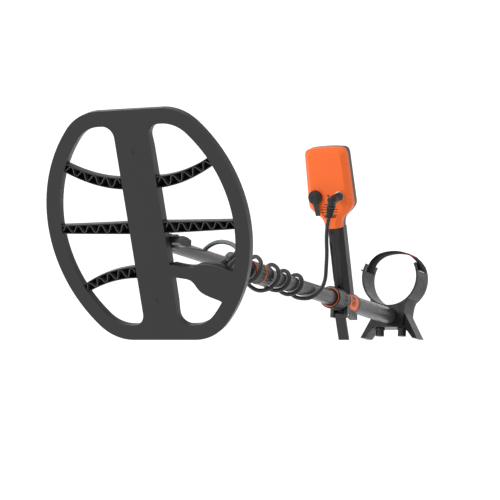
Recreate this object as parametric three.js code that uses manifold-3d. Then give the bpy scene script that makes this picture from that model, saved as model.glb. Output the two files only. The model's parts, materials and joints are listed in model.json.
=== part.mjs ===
// Metal detector with an elliptical coil, a three-stage telescopic shaft, a grip that carries the
// control box, and an arm cuff that slides on the shaft.
//
// Units are millimetres, +Z is up, +X points from the cuff towards the coil and +Y is the user's left.
// The detector rests on the coil's heel, on its kickstand and on the cuff's two feet, so z = 0 is the ground.
// The origin lies on the ground, in the middle of the detector's length.

import * as THREE from "three";
import { mergeVertices } from "three/addons/utils/BufferGeometryUtils.js";
import Module from "manifold-3d";

const wasm = await Module();
wasm.setup();

// ---------- driving dimensions ----------

const GAP = 0.3;                     // clearance between two separate pieces
const CENTRE_X = 397.77;             // from the origin forward to the coil's heel

const SHAFT_SLOPE = 6.26 * Math.PI / 180;   // the shaft rises towards the coil
const PIVOT = { x: 12.1, z: 136.6 };        // coil pivot, measured from the heel
const COIL_LEAN = 19.16 * Math.PI / 180;    // coil plane from the vertical, top edge forward
const GRIP_LEAN = 15.5 * Math.PI / 180;     // grip and control box from the vertical, top forward

const COIL = {
  length: 330, width: 312.6, sideRadius: 208.8, cornerRadius: 69.7,
  rim: 21.5, spine: 54.3, fillet: 17, cover: 2.8, depth: 11.2,
  pivotUp: 133.2, pivotBack: 33.4,
};

const LOWER = { radius: 9.8, wall: 1.4, front: 26, rear: 500 };
const MIDDLE = { radius: 12.9, wall: 1.6, front: 330, rear: 740 };
const UPPER = { radius: 14.6, wall: 1.4, front: 618, rear: 884 };

const LOCK = { radius: 16.7, front: 270, rear: 343 };
const LOCK_RINGS = [279.7, 315];
const GRIP_LOCK = { radius: 18.8, front: 597, rear: 633 };
const HOUSING = { radius: 17.2, front: 634, rear: 690 };

const GRIP_STATION = 660.3;          // where the grip's line crosses the shaft axis
const GRIP = { halfWidth: 14, front: 15.5, back: 18, foot: 10, neck: 130.5 };

const BOX = {
  top: 266, halfTop: 37, halfWide: 39.5, wideAt: 172, halfNeck: 14.5, face: 20, seam: 3, rear: -8,
};

const CUFF = { front: 858, rear: 911, radius: 53.5, wall: 3.2, centre: 70, openAngle: 62 };
const STRAP = { width: 32, thick: 2.4, radius: 57, peak: 118.5, halfAngle: 41 };
const LEG = { front: 863, rear: 898, reach: 54 };

const SCREW = { station: -875, y: 21 };
const SIDES = [["left", 1], ["right", -1]];
const GRIP_SCREWS = [[-3, 123.5], [0, 30]];      // [y, z] in the grip's frame
const SOCKET = { y: 21.2, z: 186 };
const CAP = { y: -22, z: 185.5 };
const PLUG = { nutFront: 42, head: 53 };
const LEAD_RADIUS = 3.25;
const STAND = {
  station: 643.6, down: 24.5, width: 17.7, thick: 6.5, lean: 20.8 * Math.PI / 180,
};

// ---------- finishes ----------

const finish = (color, roughness, metalness = 0) =>
  new THREE.MeshStandardMaterial({ color, roughness, metalness });

const FINISH = {
  coil: finish(0x454545, 0.62),
  shell: finish(0x3a3a3a, 0.55),
  tube: finish(0x6c6c6c, 0.42, 0.1),
  orange: finish(0xff7d41, 0.42),
  rubber: finish(0x2a2a2a, 0.8),
  lead: finish(0x4a4a4a, 0.6),
  strap: finish(0x26282a, 0.95),
  metal: finish(0xb8b8b8, 0.3, 1),
  copper: finish(0xa8632f, 0.4, 1),
  board: finish(0x1f4a33, 0.5),
  glass: finish(0x20262a, 0.08),
};

// ---------- solids ----------

function toSolid(geometry) {
  const bare = geometry.clone();
  bare.deleteAttribute("normal");
  bare.deleteAttribute("uv");
  const merged = mergeVertices(bare, 1e-4);
  const corners = [];
  for (let i = 0; i < merged.index.count; i += 3) {
    const [a, b, c] = [0, 1, 2].map((k) => merged.index.getX(i + k));
    if (a !== b && b !== c && c !== a) corners.push(a, b, c);
  }
  return new wasm.Manifold(new wasm.Mesh({
    numProp: 3,
    vertProperties: new Float32Array(merged.attributes.position.array),
    triVerts: new Uint32Array(corners),
  }));
}

function toGeometry(solid) {
  const mesh = solid.getMesh();
  const geometry = new THREE.BufferGeometry();
  geometry.setAttribute("position", new THREE.BufferAttribute(new Float32Array(mesh.vertProperties), 3));
  geometry.setIndex(new THREE.BufferAttribute(new Uint32Array(mesh.triVerts), 1));
  const shaded = geometry.toNonIndexed();
  shaded.computeVertexNormals();
  return shaded;
}

const join = (...solids) => solids.reduce((whole, next) => whole.add(next));
const cut = (whole, ...tools) => tools.reduce((rest, tool) => rest.subtract(tool), whole);
const common = (...solids) => solids.reduce((shared, next) => shared.intersect(next));

// A block given by its two opposite corners.
function block([x0, y0, z0], [x1, y1, z1]) {
  const geometry = new THREE.BoxGeometry(x1 - x0, y1 - y0, z1 - z0);
  geometry.translate((x0 + x1) / 2, (y0 + y1) / 2, (z0 + z1) / 2);
  return toSolid(geometry);
}

const AXIS = {
  x: new THREE.Matrix4().makeRotationZ(-Math.PI / 2),
  y: new THREE.Matrix4(),
  z: new THREE.Matrix4().makeRotationX(Math.PI / 2),
};

// A round bar from a to b along one axis, through the point at on the other two.
function bar(axis, radius, a, b, at = [0, 0, 0], sides = 24) {
  const geometry = new THREE.CylinderGeometry(radius, radius, Math.abs(b - a), sides);
  geometry.applyMatrix4(AXIS[axis]);
  const centre = new THREE.Vector3(...at);
  centre[axis] = (a + b) / 2;
  geometry.translate(centre.x, centre.y, centre.z);
  return toSolid(geometry);
}

const pipe = (axis, outer, inner, a, b, at, sides) =>
  cut(bar(axis, outer, a, b, at, sides), bar(axis, inner, a - 1, b + 1, at, sides));

// A body turned about the x axis, from [x, radius] points that start at its rear end on the axis.
function turned(points, sides = 28) {
  const geometry = new THREE.LatheGeometry(points.map(([x, radius]) => new THREE.Vector2(radius, x)), sides);
  geometry.applyMatrix4(AXIS.x);
  return toSolid(geometry);
}

// A flat outline of [y, z] points (or a Shape), extruded along x from x0 to x1.
const FLAT_TO_X = new THREE.Matrix4().makeBasis(
  new THREE.Vector3(0, 1, 0), new THREE.Vector3(0, 0, 1), new THREE.Vector3(1, 0, 0));
const FLAT_TO_Y = new THREE.Matrix4().makeBasis(
  new THREE.Vector3(1, 0, 0), new THREE.Vector3(0, 0, 1), new THREE.Vector3(0, -1, 0));

function outlineShape(points) {
  return new THREE.Shape(points.map(([a, b]) => new THREE.Vector2(a, b)));
}

function plateX(outline, x0, x1, curveSegments = 8) {
  const shape = Array.isArray(outline) ? outlineShape(outline) : outline;
  const geometry = new THREE.ExtrudeGeometry(shape, { depth: x1 - x0, bevelEnabled: false, curveSegments });
  geometry.applyMatrix4(FLAT_TO_X);
  geometry.translate(x0, 0, 0);
  return toSolid(geometry);
}

// A flat outline of [x, z] points, extruded along y from y0 to y1.
function plateY(outline, y0, y1, curveSegments = 8) {
  const shape = Array.isArray(outline) ? outlineShape(outline) : outline;
  const geometry = new THREE.ExtrudeGeometry(shape, { depth: y1 - y0, bevelEnabled: false, curveSegments });
  geometry.applyMatrix4(FLAT_TO_Y);
  geometry.translate(0, y1, 0);
  return toSolid(geometry);
}

// The part of a curve between two of its parameters, as a curve of its own.
class Stretch extends THREE.Curve {
  constructor(route, from, to) {
    super();
    this.route = route;
    this.from = from;
    this.to = to;
  }

  getPoint(t, target = new THREE.Vector3()) {
    return this.route.getPoint(this.from + (this.to - this.from) * t, target);
  }
}

// A round cord along a curve.
function cord(extrudePath, radius, steps, sides = 8) {
  const section = new THREE.Shape();
  section.absarc(0, 0, radius, 0, Math.PI * 2);
  return toSolid(new THREE.ExtrudeGeometry(section,
    { steps, bevelEnabled: false, curveSegments: sides / 2, extrudePath }));
}

// A tapered sleeve from one point towards another.
function taper(from, to, startRadius, endRadius, sides = 16) {
  const start = new THREE.Vector3(...from);
  const end = new THREE.Vector3(...to);
  const length = start.distanceTo(end);
  const geometry = new THREE.CylinderGeometry(endRadius, startRadius, length, sides);
  const aim = new THREE.Quaternion().setFromUnitVectors(
    new THREE.Vector3(0, 1, 0), end.clone().sub(start).normalize());
  geometry.applyQuaternion(aim);
  const centre = start.add(end).multiplyScalar(0.5);
  geometry.translate(centre.x, centre.y, centre.z);
  return toSolid(geometry);
}

const mirrored = (outline) => outline.map(([y, z]) => [-y, z]).reverse();

// ---------- scene graph ----------

const detector = new THREE.Group();
const shaft = new THREE.Group();
shaft.position.set(CENTRE_X + PIVOT.x, 0, PIVOT.z);
shaft.rotation.y = -SHAFT_SLOPE;
const coil = new THREE.Group();
coil.position.set(CENTRE_X, 0, 0);
coil.rotation.y = COIL_LEAN;
const grip = new THREE.Group();
grip.position.set(
  CENTRE_X + PIVOT.x - GRIP_STATION * Math.cos(SHAFT_SLOPE), 0,
  PIVOT.z - GRIP_STATION * Math.sin(SHAFT_SLOPE));
grip.rotation.y = GRIP_LEAN;
detector.add(shaft, coil, grip);

function place(parent, name, solid, material) {
  const mesh = new THREE.Mesh(toGeometry(solid), material);
  mesh.name = name;
  parent.add(mesh);
  return mesh;
}

// ---------- coil: x = 0 is its flat search face, z runs from heel to toe, y = 0 is its spine ----------

// The coil's outline moved inward by inset: flat toe and heel, round corners, wide side arcs.
function coilOutline(inset) {
  const { length, width, sideRadius, cornerRadius } = COIL;
  const sideCentre = width / 2 - sideRadius;
  const cornerRise = length / 2 - cornerRadius;
  const reach = sideRadius - cornerRadius;
  const cornerY = sideCentre + Math.sqrt(reach * reach - cornerRise * cornerRise);
  const tangent = Math.atan2(cornerRise, cornerY - sideCentre);
  const middle = length / 2;
  const shape = new THREE.Shape();
  shape.absarc(cornerY, middle - cornerRise, cornerRadius - inset, -Math.PI / 2, -tangent, false);
  shape.absarc(sideCentre, middle, sideRadius - inset, -tangent, tangent, false);
  shape.absarc(cornerY, middle + cornerRise, cornerRadius - inset, tangent, Math.PI / 2, false);
  shape.absarc(-cornerY, middle + cornerRise, cornerRadius - inset, Math.PI / 2, Math.PI - tangent, false);
  shape.absarc(-sideCentre, middle, sideRadius - inset, Math.PI - tangent, Math.PI + tangent, false);
  shape.absarc(-cornerY, middle - cornerRise, cornerRadius - inset, Math.PI + tangent, Math.PI * 1.5, false);
  return shape;
}

const coilDisc = (inset, x0, x1) => plateX(coilOutline(inset), x0, x1, 8);

// The three rib stations: middle pair straight, upper pair and lower right one sweeping outward.
const RIB_SPINE = 17;
const RIB_RIM = 12;
const ribMiddle = [[24, 163], [80, 163], [144, 164]];
const ribUpper = [[24, 227], [76, 228.5], [128, 262]];
const ribLower = [[24, 99], [76, 99.5], [128, 68]];

function ribOutline(centre, inset, side) {
  const curve = new THREE.QuadraticBezierCurve(...centre.map(([y, z]) => new THREE.Vector2(y, z)));
  const steps = 5;
  const low = [];
  const high = [];
  for (let i = 0; i <= steps; i += 1) {
    const at = curve.getPoint(i / steps);
    const half = (RIB_SPINE + (RIB_RIM - RIB_SPINE) * i / steps) / 2 - inset;
    low.push([side * at.x, at.y - half]);
    high.push([side * at.x, at.y + half]);
  }
  const loop = [...low, ...high.reverse()];
  return side > 0 ? loop : loop.reverse();
}

const RIBS = [[ribMiddle, 1], [ribMiddle, -1], [ribUpper, 1], [ribUpper, -1], [ribLower, -1]];

// The cable pod fills the lower left opening next to the rim, with an arm to the spine.
const POD = [
  [24, 92], [40, 90], [55, 87.5], [61, 81], [65, 73], [72, 66.5], [84, 61], [100, 55], [112, 40],
  [142, 80], [128, 93.5], [112, 101], [93, 108], [72, 109.5], [61, 103.8], [42, 106.5], [24, 111],
];

// The space inside the rim on both sides of the spine, with round corners where rim and spine meet.
function openings(extraWall, x0, x1) {
  const hollow = coilDisc(COIL.rim + extraWall, x0, x1);
  const halfSpine = COIL.spine / 2 + extraWall;
  const edge = COIL.rim + extraWall;
  const reach = COIL.fillet;
  const corners = [];
  for (const side of [1, -1]) {
    for (const [rimEdge, inward] of [[edge, 1], [COIL.length - edge, -1]]) {
      const y = [side * halfSpine, side * (halfSpine + reach)].sort((a, b) => a - b);
      const z = [rimEdge - inward * 2, rimEdge + inward * reach].sort((a, b) => a - b);
      const centre = [0, side * (halfSpine + reach), rimEdge + inward * reach];
      corners.push(cut(block([x0 - 1, y[0], z[0]], [x1 + 1, y[1], z[1]]),
        bar("x", reach, x0 - 2, x1 + 2, centre, 32)));
    }
  }
  return cut(hollow, block([x0 - 1, -halfSpine, -5], [x1 + 1, halfSpine, COIL.length + 5]), ...corners);
}

const coilBack = -COIL.depth;
const coverBack = -COIL.cover;

// A point on the lead's way out of the pod, along the pod's back towards the toe and the left.
const RELIEF_LENGTH = 17.7;
const onPodBack = (along) => [coilBack - 11, 90 + 0.82 * along, 96 + 0.57 * along];

function windingBand(side, outerInset, innerInset, spineEdge, x0, x1) {
  const keep = (edge) => (side > 0
    ? block([x0 - 1, -edge, -5], [x1 + 1, 200, 400])
    : block([x0 - 1, -200, -5], [x1 + 1, edge, 400]));
  const outer = common(coilDisc(outerInset, x0, x1), keep(spineEdge));
  const inner = common(coilDisc(innerInset, x0 - 2, x1 + 2), keep(spineEdge - (innerInset - outerInset)));
  return cut(outer, inner);
}

function buildCoil() {
  const pod = (inset, x0, x1) => cut(plateX(POD, x0, x1), cut(
    block([x0 - 1, -200, -20], [x1 + 1, 200, 360]), coilDisc(COIL.rim / 2 + inset, x0 - 1, x1 + 1)));

  const cover = join(
    cut(coilDisc(0, coverBack, 0), openings(0, coverBack - 1, 1)),
    pod(0, coverBack, 0));
  const dimples = [165 - 106.5, 165 + 106.5].map((z) => bar("x", 3.6, -1.2, 1, [0, 0, z], 16));
  place(coil, "coil_cover", cut(cover, ...dimples), FINISH.coil);

  const shellFront = coverBack - GAP;
  let shell = join(
    cut(coilDisc(0, coilBack, shellFront), openings(0, coilBack - 1, 1)),
    pod(0, coilBack - 5, shellFront));
  for (const [centre, side] of RIBS) {
    const rib = join(
      common(plateX(ribOutline(centre, 0, side), coilBack, shellFront), coilDisc(4, coilBack - 1, 1)),
      common(plateX(ribOutline(centre, 0, side), shellFront - 1, -0.8), openings(GAP, -20, 1)));
    const channel = common(
      plateX(ribOutline(centre, 1.4, side), coilBack + 1.6, 1), openings(1.5, -20, 2));
    shell = cut(join(shell, rib), channel);
  }
  const spineBack = coilBack - 8.5;
  const spineRidge = [[-22, 34], [22, 34], [24, 60], [24, 270], [22, 296], [-22, 296], [-24, 270], [-24, 60]];
  shell = join(shell, plateX(spineRidge, spineBack, coilBack + 1));
  const ear = (y0, y1) => join(
    plateY([[coilBack, COIL.pivotUp - 20], [-COIL.pivotBack, COIL.pivotUp - 11.5],
      [-COIL.pivotBack, COIL.pivotUp + 11.5], [coilBack, COIL.pivotUp + 20]], y0, y1),
    bar("y", 11.5, y0, y1, [-COIL.pivotBack, 0, COIL.pivotUp], 24));
  shell = join(shell, ear(11.2, 17), ear(-17, -11.2));
  shell = join(shell, taper(onPodBack(-9), onPodBack(0), 6.6, 6.6));
  const boltHole = bar("y", 4.3, -30, 30, [-COIL.pivotBack, 0, COIL.pivotUp], 20);
  const grooves = [
    windingBand(1, 6, 15.5, 15, shellFront - 5.4, 1),
    windingBand(-1, 6, 15.5, 15, shellFront - 5.4, 1),
  ];
  place(coil, "coil_shell", cut(shell, boltHole, ...grooves), FINISH.coil);
  place(coil, "lead_relief", taper(onPodBack(GAP), onPodBack(RELIEF_LENGTH), 5.6, 4.4), FINISH.rubber);

  const near = shellFront - 0.4;
  place(coil, "transmit_winding", windingBand(1, 7, 14.5, 13.8, near - 2.1, near), FINISH.copper);
  place(coil, "receive_winding", windingBand(-1, 7, 14.5, 13.8, near - 4.7, near - 2.5), FINISH.copper);
}

// ---------- coil pivot: bolt, washers and wing knob on the y axis through the shaft's origin ----------

function buildPivot() {
  const shank = join(bar("y", 3.8, -19.6, 36), bar("y", 7.5, -23, -17.4, [0, 0, 0], 6));
  place(shaft, "pivot_bolt", shank, FINISH.metal);
  for (const [name, side] of SIDES) {
    const washer = pipe("y", 9.4, 4.3, Math.min(side * 8.9, side * 10.9), Math.max(side * 8.9, side * 10.9));
    place(shaft, `rubber_washer_${name}`, washer, FINISH.rubber);
  }
  const wings = plateY(
    [[-19, -4.5], [-6, -7], [6, -7], [19, -4.5], [19, 4.5], [6, 7], [-6, 7], [-19, 4.5]], 25, 39);
  const knob = cut(join(bar("y", 10.5, 17.4, 27), wings), bar("y", 4.2, 10, 36.5));
  place(shaft, "wing_knob", knob, FINISH.shell);
}

// ---------- shaft: x = 0 is the coil pivot, stations run backward along -x ----------

function buildShaft() {
  const tube = (spec) => pipe(
    "x", spec.radius, spec.radius - spec.wall, -spec.rear, -spec.front, [0, 0, 0], 32);

  const blade = join(
    plateY([[-LOWER.front + GAP, -9.4], [0, -9.4], [0, 9.4], [-LOWER.front + GAP, 9.4]], -8.6, 8.6),
    bar("y", 9.4, -8.6, 8.6));
  const yoke = cut(
    join(blade, bar("x", LOWER.radius, -LOWER.front + GAP, -18), bar("x", 8, -62, -24)),
    bar("y", 4.3, -20, 20));
  place(shaft, "yoke", yoke, FINISH.shell);
  place(shaft, "lower_tube", tube(LOWER), FINISH.tube);
  place(shaft, "middle_tube", tube(MIDDLE), FINISH.tube);
  place(shaft, "upper_tube", tube(UPPER), FINISH.tube);

  place(shaft, "lock_seat",
    pipe("x", 14.6, LOWER.radius + GAP, -MIDDLE.front + GAP, -LOCK.front - 6), FINISH.shell);
  place(shaft, "lock_rear_ring",
    pipe("x", 14.6, MIDDLE.radius + GAP, -LOCK.rear - 5, -LOCK.rear + 3), FINISH.shell);
  const plugRadius = UPPER.radius - UPPER.wall - GAP;
  place(shaft, "tube_plug", bar("x", plugRadius, -UPPER.rear, -UPPER.rear + 12), FINISH.shell);
  const rings = LOCK_RINGS.map((station) => sealRing(LOCK.radius + 0.2, station, 0));
  const grooves = LOCK_RINGS.map((station) => sealRing(LOCK.radius + 2, station, GAP));
  place(shaft, "twist_lock", cut(twistSleeve(LOCK, 14.9, 10.2), ...grooves), FINISH.shell);
  place(shaft, "lock_ring_front", rings[0], FINISH.orange);
  place(shaft, "lock_ring_rear", rings[1], FINISH.orange);

  const faceRing = (grow) => pipe("x", 16.4 + grow, 15.2 - grow,
    -GRIP_LOCK.front - 2 - grow, -GRIP_LOCK.front + 0.2 + grow);
  place(shaft, "grip_lock", cut(twistSleeve(GRIP_LOCK, 15, 13.2), faceRing(GAP)), FINISH.shell);
  place(shaft, "grip_lock_ring", faceRing(0), FINISH.orange);
}

// A seal ring let into a twist lock, or with grow the groove that holds it.
function sealRing(outer, station, grow) {
  return pipe("x", outer, LOCK.radius - 1.4 - grow, -station - 1.1 - grow, -station + 1.1 + grow);
}

// A twist lock's sleeve: a wide bore behind a smaller mouth at its front.
function twistSleeve({ radius, front, rear }, bore, mouth) {
  const outside = turned([[-rear, 0], [-rear, radius - 0.6], [-rear + 2, radius], [-front - 5, radius],
    [-front, radius - 1.2], [-front, 0]], 24);
  return cut(outside, bar("x", bore, -rear - 1, -front - 4), bar("x", mouth, -rear, -front + 1));
}

// ---------- armrest ----------

function arcPoints(radius, from, to, centreZ, steps) {
  const points = [];
  for (let i = 0; i <= steps; i += 1) {
    const angle = (from + (to - from) * i / steps) * Math.PI / 180;
    points.push([radius * Math.sin(angle), centreZ + radius * Math.cos(angle)]);
  }
  return points;
}

function buildArmrest() {
  const { front, rear, radius, wall, centre, openAngle } = CUFF;
  const band = [
    ...arcPoints(radius, openAngle, 360 - openAngle, centre, 26),
    ...arcPoints(radius - wall, 360 - openAngle, openAngle, centre, 26),
  ];
  const saddle = [
    [36, 30], [30, 26.8], [18, 20.8], [0, 17.9], [-18, 20.8], [-30, 26.8], [-36, 30],
    [-32, 20], [-30, 8], [-29, -10], [-26, -20], [26, -20], [29, -10], [30, 8], [32, 20],
  ];
  const floor = -(PIVOT.z - LEG.rear * Math.sin(SHAFT_SLOPE)) / Math.cos(SHAFT_SLOPE);
  const leg = [[26, 14], [24, -12], [LEG.reach - 9, floor], [LEG.reach, floor], [31.5, 2]];
  const legs = [leg, mirrored(leg)].map((outline) => plateX(outline, -LEG.rear, -LEG.front));
  const bodyBlock = plateX(saddle, -rear + 6, -front);
  const body = cut(
    join(plateX(band, -rear, -front), bodyBlock, ...legs),
    bar("x", UPPER.radius + GAP, -rear - 5, -front + 40, [0, 0, 0], 32));
  const middle = -(front + rear) / 2;
  const halfSlot = STRAP.width / 2 + 1;
  const slots = [1, -1].map((side) => block(
    [middle - halfSlot, side * 52 - 8, centre + 11], [middle + halfSlot, side * 52 + 8, centre + 15.5]));
  const screwHoles = [1, -1].map((side) => bar("z", 2.4, -30, -8, [SCREW.station, side * SCREW.y, 0], 14));
  place(shaft, "armrest", cut(body, ...slots, ...screwHoles), FINISH.shell);

  for (const [name, side] of SIDES) {
    const at = [SCREW.station, side * SCREW.y, 0];
    const screw = join(
      bar("z", 7.4, -35, -24, at, 18), bar("z", 8.6, -24, -20 - GAP, at, 18), bar("z", 2, -24, -9, at, 14));
    place(shaft, `clamp_screw_${name}`, screw, FINISH.shell);
  }
  const strapCentre = STRAP.peak - STRAP.radius;
  const strap = [
    ...arcPoints(STRAP.radius, -STRAP.halfAngle, STRAP.halfAngle, strapCentre, 16),
    ...arcPoints(STRAP.radius - STRAP.thick, STRAP.halfAngle, -STRAP.halfAngle, strapCentre, 16),
  ];
  place(shaft, "arm_strap",
    plateX(strap.reverse(), middle - STRAP.width / 2, middle + STRAP.width / 2), FINISH.strap);
}

// ---------- housing under the grip, with the kickstand ----------

function buildHousing() {
  const { station, down, width, thick, lean } = STAND;
  const { radius, front, rear } = HOUSING;
  const cheek = (y0, y1) => block([-station - 7, y0, -down - 4.6], [-station + 7, y1, -8]);
  const halfSlot = width / 2 + 0.5;
  const fin = plateY([[-702, -26.5], [-668, -19], [-664, -15.2], [-700, -15.2]], -7, 7);
  const stop = block([-station - 7, -halfSlot - 1, -down], [-station - 5.2, halfSlot + 1, -12]);
  const sleeve = join(bar("x", radius, -rear, -front, [0, 0, 0], 32), cheek(halfSlot, 15.4),
    cheek(-15.4, -halfSlot), stop, fin);
  const label = { from: -680, to: -647 };
  const labelBand = (inner, outer, grow) => common(
    pipe("x", outer, inner, label.from - grow, label.to + grow, [0, 0, 0], 40),
    block([-800, 6 - grow, -13 - grow], [0, 40, 11.5 + grow]));
  const housing = cut(sleeve,
    bar("x", UPPER.radius + GAP, -720, -600, [0, 0, 0], 32),
    bar("y", 2 + GAP, -30, 30, [-station, 0, -down], 14),
    labelBand(radius - 0.4, radius + 2, GAP));
  place(shaft, "shaft_housing", housing, FINISH.shell);
  place(shaft, "housing_label", labelBand(radius - 0.1, radius + 0.5, 0), FINISH.orange);
  place(shaft, "stand_pin", bar("y", 2, -15, 15, [-station, 0, -down], 14), FINISH.metal);

  const stand = new THREE.Group();
  stand.position.set(-station, 0, -down);
  stand.rotation.y = SHAFT_SLOPE + lean;
  shaft.add(stand);
  const pivotHeight = PIVOT.z - station * Math.sin(SHAFT_SLOPE) - down * Math.cos(SHAFT_SLOPE);
  const bottomAt = (x) => (-pivotHeight + x * Math.sin(lean)) / Math.cos(lean);
  const half = thick / 2;
  const leg = join(
    plateY([[-half, bottomAt(-half)], [half, bottomAt(half)], [half, 0], [-half, 0]], -width / 2, width / 2),
    bar("y", 4.4, -width / 2, width / 2));
  place(stand, "stand_leg", cut(leg, bar("y", 2 + GAP, -20, 20, [0, 0, 0], 14)), FINISH.shell);
}

// ---------- grip and control box: z runs up the grip from the shaft axis, x faces the coil ----------

// The shaft as seen from the grip's own frame, widened by clear.
function shaftThroughGrip(radius) {
  const geometry = new THREE.CylinderGeometry(radius, radius, 120, 32);
  geometry.applyMatrix4(AXIS.x);
  geometry.rotateY(-(SHAFT_SLOPE + GRIP_LEAN));
  return toSolid(geometry);
}

// The long pad on the slanting facet between the grip's front and its side, drawn in by inset, from low to
// high along the facet's normal.
function gripPanel(sign, inset, low, high) {
  const { front, halfWidth } = GRIP;
  const start = new THREE.Vector3(front + 2, sign * 7, 0);
  const end = new THREE.Vector3(front - 11, sign * halfWidth, 0);
  const along = end.clone().sub(start).normalize();
  const outward = new THREE.Vector3(-along.y, along.x, 0).multiplyScalar(-sign);
  const middle = start.clone().add(end).multiplyScalar(0.5);
  const half = 5.6 - inset;
  const shape = outlineShape([
    [-half, 44 + inset], [-half + 4, 38 + inset], [half - 2, 38 + inset], [half, 42 + inset],
    [half, 104 - inset], [-half, 108 - inset]]);
  const geometry = new THREE.ExtrudeGeometry(shape, { depth: high - low, bevelEnabled: false });
  geometry.translate(0, 0, low);
  const upright = new THREE.Vector3(0, 0, 1);
  const handed = along.clone().cross(upright).dot(outward) > 0 ? along : along.negate();
  geometry.applyMatrix4(new THREE.Matrix4().makeBasis(handed, upright, outward).setPosition(middle));
  return toSolid(geometry);
}

function buildGrip() {
  const { front, back, halfWidth, foot, neck } = GRIP;
  const side = [
    [front + 1, foot], [front, 60], [front - 2.5, neck - 12], [front - 2.5, neck],
    [-back + 6, neck], [-back + 5, 95], [-back + 1, 60], [-back, foot]];
  const facet = { y: 7, x: front - 11 };
  const section = [
    [front + 2, -facet.y], [front + 2, facet.y], [facet.x, halfWidth], [-back + 7, halfWidth], [-back, 7],
    [-back, -7], [-back + 7, -halfWidth], [facet.x, -halfWidth],
  ];
  const column = toSolid(
    new THREE.ExtrudeGeometry(outlineShape(section), { depth: neck + 5, bevelEnabled: false }));
  const core = block([-9, -9, 26], [7, 9, neck + 1]);
  const body = cut(common(plateY(side, -halfWidth, halfWidth), column),
    core, shaftThroughGrip(HOUSING.radius + 0.6 + GAP));
  for (const [name, sign] of SIDES) {
    const keepY = [sign * GAP / 2, sign * 40].sort((a, b) => a - b);
    const keep = block([-60, keepY[0], -10], [60, keepY[1], 200]);
    const pocket = gripPanel(sign, 0, -1.6, 8);
    const screws = GRIP_SCREWS.map(([y, z]) => bar("x", 2.9, 4, 30, [0, y, z], 16));
    place(grip, `grip_shell_${name}`, cut(common(body, keep), pocket, ...screws), FINISH.shell);
    place(grip, `grip_pad_${name}`, gripPanel(sign, GAP, -1.6 + GAP, 0.5), FINISH.rubber);
  }
  GRIP_SCREWS.forEach(([y, z], i) => place(grip, `grip_screw_${i + 1}`,
    join(bar("x", 2.5, 8, 12, [0, y, z], 16), bar("x", 1.4, 5, 9, [0, y, z], 12)), FINISH.metal));
}

// The control box outline, seen along x, moved inward by inset: wide low down, then drawn in to the neck.
function boxOutline(inset) {
  const { top, halfTop, halfWide, wideAt, halfNeck } = BOX;
  const neck = GRIP.neck + GAP;
  const narrow = halfNeck - inset;
  const flank = halfWide - inset;
  const crown = halfTop - inset;
  const roof = top - inset;
  const corner = 11 - inset / 2;
  const shoulderLow = neck + 19 + inset / 2;
  const shoulderHigh = neck + 25 + inset / 2;
  const shoulderTop = neck + 31 + inset / 2;
  const shape = new THREE.Shape();
  shape.moveTo(narrow, neck);
  shape.bezierCurveTo(narrow, neck + 16, narrow + 6, shoulderLow, narrow + 14, shoulderHigh);
  shape.bezierCurveTo(flank - 5, shoulderTop, flank, wideAt - 7, flank, wideAt + 2);
  shape.lineTo(crown, roof - corner);
  shape.quadraticCurveTo(crown - 0.5, roof - 0.5, crown - corner, roof);
  shape.quadraticCurveTo(0, roof + 2.5, -crown + corner, roof);
  shape.quadraticCurveTo(-crown + 0.5, roof - 0.5, -crown, roof - corner);
  shape.lineTo(-flank, wideAt + 2);
  shape.bezierCurveTo(-flank, wideAt - 7, -flank + 5, shoulderTop, -narrow - 14, shoulderHigh);
  shape.bezierCurveTo(-narrow - 6, shoulderLow, -narrow, neck + 16, -narrow, neck);
  return shape.getPoints(5);
}

// A solid through box outlines of the same point count, given as [x, inset] from back to front.
function boxLoft(levels) {
  const rings = levels.map(([x, inset]) => boxOutline(inset).map((p) => [x, p.x, p.y]));
  const count = rings[0].length;
  const index = [];
  for (let level = 0; level + 1 < rings.length; level += 1) {
    for (let i = 0; i < count; i += 1) {
      const a = level * count + i;
      const b = level * count + (i + 1) % count;
      index.push(a, b, b + count, a, b + count, a + count);
    }
  }
  const cap = THREE.ShapeUtils.triangulateShape(boxOutline(levels[0][1]), []);
  const last = (rings.length - 1) * count;
  for (const [a, b, c] of cap) index.push(c, b, a, last + a, last + b, last + c);
  const geometry = new THREE.BufferGeometry();
  geometry.setAttribute("position", new THREE.Float32BufferAttribute(rings.flat(2), 3));
  geometry.setIndex(index);
  return toSolid(geometry);
}

const BUTTONS = [
  ["power", -22, 178], ["menu", 0, 178], ["back", 22, 178], ["minus", -13, 160], ["plus", 13, 160],
];

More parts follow.
